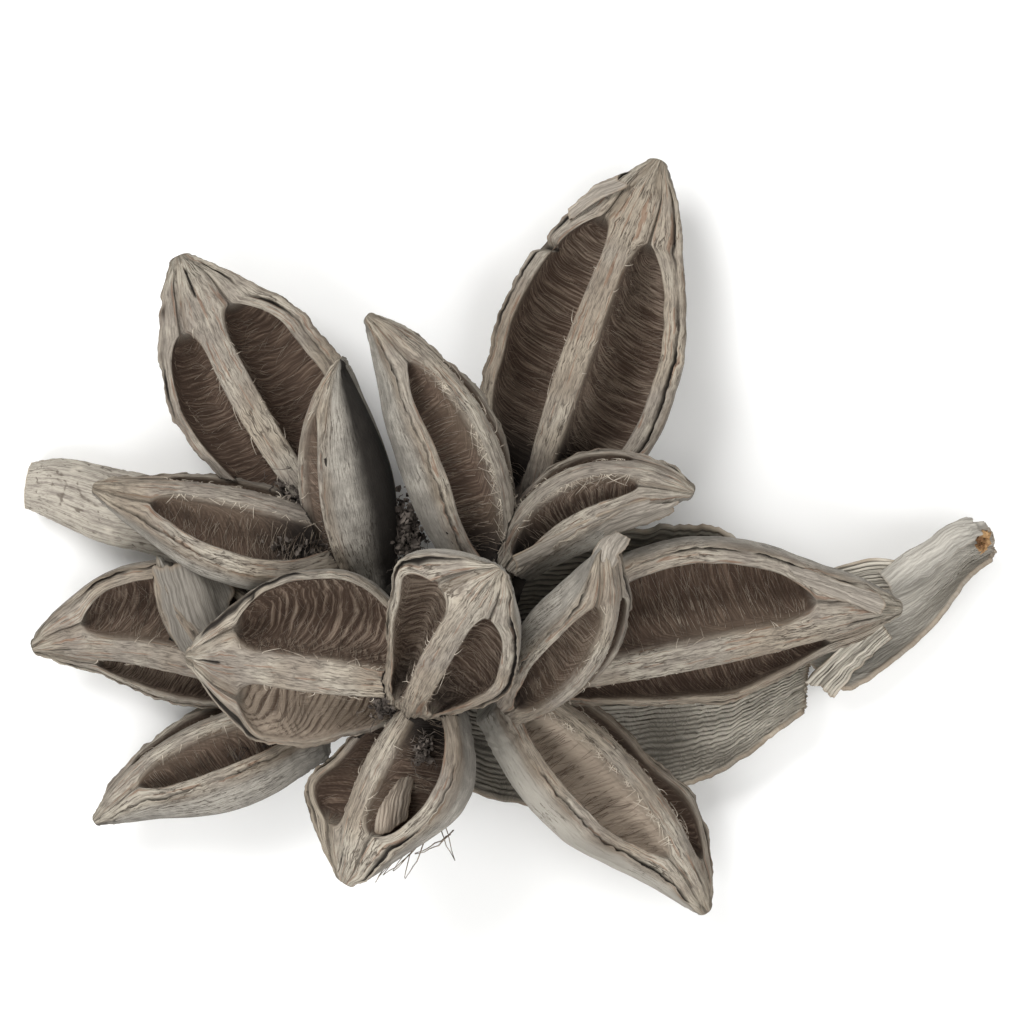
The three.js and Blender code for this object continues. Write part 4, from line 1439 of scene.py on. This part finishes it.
def valveWood():
    # the valves' wood, with painted light and shade in it
    f = Finish("valve_wood_painted_shade")
    c = valveColours
    names = ("lining", "skin", "unshaded", "relief", "toneAndLight", "lips", "tipward")
    lining, skin, unshaded, relief, toneAndLight, lips, tipward = (f.mark(name) for name in names)
    streaks = f.grained(1.0, across=1.0, along=0.08, detail=8, rough=0.7)
    fine = f.grained(1.0, across=2.6, along=0.28, detail=5, rough=0.65, shift=7.0)
    cracks = f.grained(1.0, across=0.5, along=0.06, detail=5, shift=51.0)
    rustLines = f.grained(1.0, across=0.8, along=0.06, detail=4, shift=31.0)
    blotch = f.speckled(170.0, detail=8, rough=0.7)
    patches = f.speckled(42.0, detail=5)
    drifts = f.speckled(24.0, detail=3)
    combed = combedHair(f)
    grain = 1 - fine * 0.7 - streaks * 0.3
    sunk = relief * -1.0

    # paler by the wood's patches and streaks, and towards the tip a painted highlight for the bright
    # shoulders
    pale = (patches * 0.5 + blotch * 0.35 + streaks * 0.15 + tipward * 0.22).ramp(0.4, 0.62)
    face = f.blend(pale, c["face"], c["facePale"])
    face = f.blend(drifts.ramp(0.46, 0.6) * 0.45, face, c["faceTan"])
    face = f.blend(grain.ramp(0.44, 0.64) * 0.75, face, c["faceDark"])
    face = f.blend(rustLines.ramp(0.61, 0.66) * 0.55, face, c["rust"])

    bark = f.blend((blotch * 0.5 + patches * 0.5).ramp(0.42, 0.6), c["skin"], c["skinPale"])
    bark = f.blend(grain.ramp(0.45, 0.66) * 0.7, bark, c["skinDark"])
    bark = f.blend((1 - blotch).ramp(0.6, 0.68) * 0.4, bark, c["skinDark"])
    # skin paler by its tone, partly painted light on the half that faces the lamps
    bark = f.blend(toneAndLight * 0.8, bark, c["skinPale"])

    # hair ridges painted paler and the grooves between them darker: painted light and shade on the combed
    # relief
    hair = f.blend((combed * 0.6 + relief * 0.3).ramp(0.22, 0.5), c["liningDark"], c["lining"])
    pale = (combed * 0.5 + relief * 0.28 + patches * 0.3 + toneAndLight * 0.4).ramp(0.44, 0.8)
    hair = f.blend(pale, hair, c["liningPale"])
    hair = f.blend(sunk.ramp(-0.05, 0.45) * 0.75, hair, c["liningDark"])

    colour = f.blend(skin, face, bark)
    line = (1 - f.node("ShaderNodeMath", {"operation": "ABSOLUTE"}, (cracks - 0.5,)) * 45.0).ramp(0.0, 0.8)
    colour = f.blend(line * patches.ramp(0.5, 0.56) * 0.8, colour, c["line"])
    colour = f.blend(lining, colour, hair)
    # sunk places on the faces and the skin painted darker: painted shade
    colour = f.blend(sunk.ramp(0.08, 0.6) * (1 - lining) * 0.3, colour, c["skinDark"])
    colour = f.blend(lips * (0.35 + 0.5 * blotch), colour, c["lip"])
    # painted shade where the unshaded mark is low
    colour = f.blend((1 - unshaded).ramp(0.05, 0.8) * 0.96, colour, paintedShade)
    height = streaks * 0.2 + fine * 0.7 + combed * lining * 1.1 + blotch * 0.6 - line * (1 - lining) * 0.5
    return f.done(colour, 0.75 + 0.2 * fine, height, 0.8, reliefScale)


def threadStuff(name, dark, pale):
    f = Finish(name)
    mottle = f.speckled(240.0, detail=3)
    colour = f.blend(mottle.ramp(0.35, 0.65), dark, pale)
    return f.done(colour, 0.7 + 0.2 * mottle, f.speckled(900.0), 0.4, threadRelief)


sawnColours = [(0.5, 0.42, 0.31), (0.3, 0.24, 0.17)]


def stalkWood(name, pale, middle, dark):
    f = Finish(name)
    crack, unshaded, relief, cutFace = (f.mark(mark) for mark in ("crack", "unshaded", "relief", "cutFace"))
    streaks = f.grained(1.0, across=1.4, along=0.06, detail=5)
    fine = f.grained(1.0, across=5.0, along=0.4, detail=3, shift=7.0)
    blotch = f.speckled(110.0, detail=5)
    colour = f.blend((streaks * 0.6 + fine * 0.4).ramp(0.35, 0.62), dark, middle)
    # paler with the blotches and where the bark is raised, darker in its sunk cracks: painted light and
    # shade on the relief
    colour = f.blend((blotch * 0.7 + relief * 0.5).ramp(0.4, 0.7), colour, pale)
    colour = f.blend(crack.ramp(0.35, 0.9) * 0.8, colour, valveColours["faceDark"])
    colour = f.blend(cutFace, colour, f.blend(fine.ramp(0.4, 0.7), *sawnColours))
    # painted shade where the stalk runs under the capsules
    colour = f.blend((1 - unshaded) * 0.9, colour, paintedShade)
    height = streaks * 0.5 + fine * 0.5 + blotch * 0.5
    return f.done(colour, 0.8 + 0.15 * fine, height, 0.7, reliefScale)


def drySheet(name, dark, middle, pale, ribShade):
    # the ribs are painted paler and the valleys between them darker, as painted light and shade, by ribShade
    f = Finish(name)
    rib, unshaded, edge = f.mark("rib"), f.mark("unshaded"), f.mark("edge")
    streaks = f.grained(1.0, across=1.2, along=0.04, detail=6)
    fine = f.grained(1.0, across=5.0, along=0.2, detail=4, shift=7.0)
    blotch = f.speckled(60.0, detail=5)
    colour = f.blend((streaks * 0.6 + fine * 0.4).ramp(0.36, 0.62), dark, middle)
    colour = f.blend((rib * ribShade + blotch * 0.5 + fine * 0.2).ramp(0.42, 0.85), colour, pale)
    colour = f.blend((1 - rib).ramp(0.6, 1.0) * (0.8 * ribShade), colour, ribValley)
    colour = f.blend(edge * blotch.ramp(0.35, 0.6) * 0.7, colour, tornEdge)
    # painted shade where the sheet lies under the valves
    colour = f.blend((1 - unshaded) * 0.9, colour, paintedShade)
    height = streaks * 0.5 + fine * 0.5 + blotch * 0.3
    return f.done(colour, 0.75 + 0.2 * fine, height, 0.6, reliefScale)


finishes = {
    "valve": valveWood(),
    "core": stalkWood("crumbled_core", (0.2, 0.17, 0.14), (0.11, 0.09, 0.075), (0.04, 0.032, 0.027)),
    "peduncle": stalkWood("stalk_bark", (0.7, 0.64, 0.54), (0.48, 0.44, 0.37), (0.24, 0.21, 0.18)),
    "spathe": drySheet("ribbed_spathe", (0.22, 0.2, 0.165), (0.4, 0.365, 0.305), (0.66, 0.61, 0.52), 0.6),
    "beak": drySheet("smooth_spathe", (0.3, 0.28, 0.245), (0.5, 0.47, 0.415), (0.66, 0.62, 0.545), 0.25),
    "flap": drySheet("torn_skin", (0.2, 0.175, 0.145), (0.37, 0.33, 0.28), (0.55, 0.5, 0.42), 0.2),
    "oldFlap": drySheet("old_skin", (0.12, 0.107, 0.09), (0.24, 0.218, 0.187), (0.4, 0.37, 0.315), 0.1),
    "pulp": drySheet("pale_pulp", (0.16, 0.125, 0.095), (0.31, 0.255, 0.2), (0.44, 0.38, 0.31), 0.4),
    "hair": threadStuff("chamber_hair", (0.13, 0.095, 0.07), (0.4, 0.33, 0.26)),
    "fringe": threadStuff("ridge_fringe", (0.26, 0.215, 0.17), (0.62, 0.55, 0.45)),
    "tangle": threadStuff("torn_fibre", (0.04, 0.032, 0.027), (0.16, 0.135, 0.115)),
    "bast": threadStuff("loose_bast", (0.1, 0.075, 0.055), (0.3, 0.245, 0.19)),
    "pith": threadStuff("broken_pith", (0.2, 0.1, 0.045), (0.5, 0.31, 0.15)),
}
for name, piece in pieces.items():
    piece.data.materials.clear()
    piece.data.materials.append(finishes[name.split("_")[0]])
print("materials set")
addChamberHairs()
addClumps()
addLooseThreads()
addBeak()
addTornPieces()
print("hairs, fibres and torn pieces laid")


# The pale floor and the soft light of a studio
floorHalf = 1.4
paperColour = (0.93, 0.93, 0.92, 1)
sky = {"colour": (1, 1, 1, 1), "strength": 0.45}
lamps = {
    "key": {"at": (-0.8, 0.9, 1.7), "size": 0.9, "power": 28},
    "front": {"at": (-0.6, -0.9, 1.5), "size": 1.0, "power": 17},
    "fill": {"at": (1.0, -0.4, 1.5), "size": 1.2, "power": 12},
}
lampTarget = Vector((0, 0, 0.03))


def addFloor():
    grid = bmesh.new()
    bmesh.ops.create_grid(grid, x_segments=1, y_segments=1, size=floorHalf)
    mesh = bpy.data.meshes.new("floor")
    grid.to_mesh(mesh)
    grid.free()
    material = bpy.data.materials.new("paper")
    material.use_nodes = True
    material.node_tree.nodes["Principled BSDF"].inputs["Base Color"].default_value = paperColour
    mesh.materials.append(material)
    added("floor", mesh)


def addLight():
    world = bpy.data.worlds.new("studio")
    world.use_nodes = True
    background = world.node_tree.nodes["Background"]
    background.inputs["Color"].default_value = sky["colour"]
    background.inputs["Strength"].default_value = sky["strength"]
    bpy.context.scene.world = world
    for name, lamp in lamps.items():
        data = bpy.data.lights.new(name, "AREA")
        data.size = lamp["size"]
        data.energy = lamp["power"]
        item = added(name, data)
        item.location = lamp["at"]
        towards = lampTarget - Vector(lamp["at"])
        item.rotation_euler = towards.to_track_quat("-Z", "Y").to_euler()


addFloor()
addLight()
bpy.context.scene.view_settings.view_transform = "Standard"
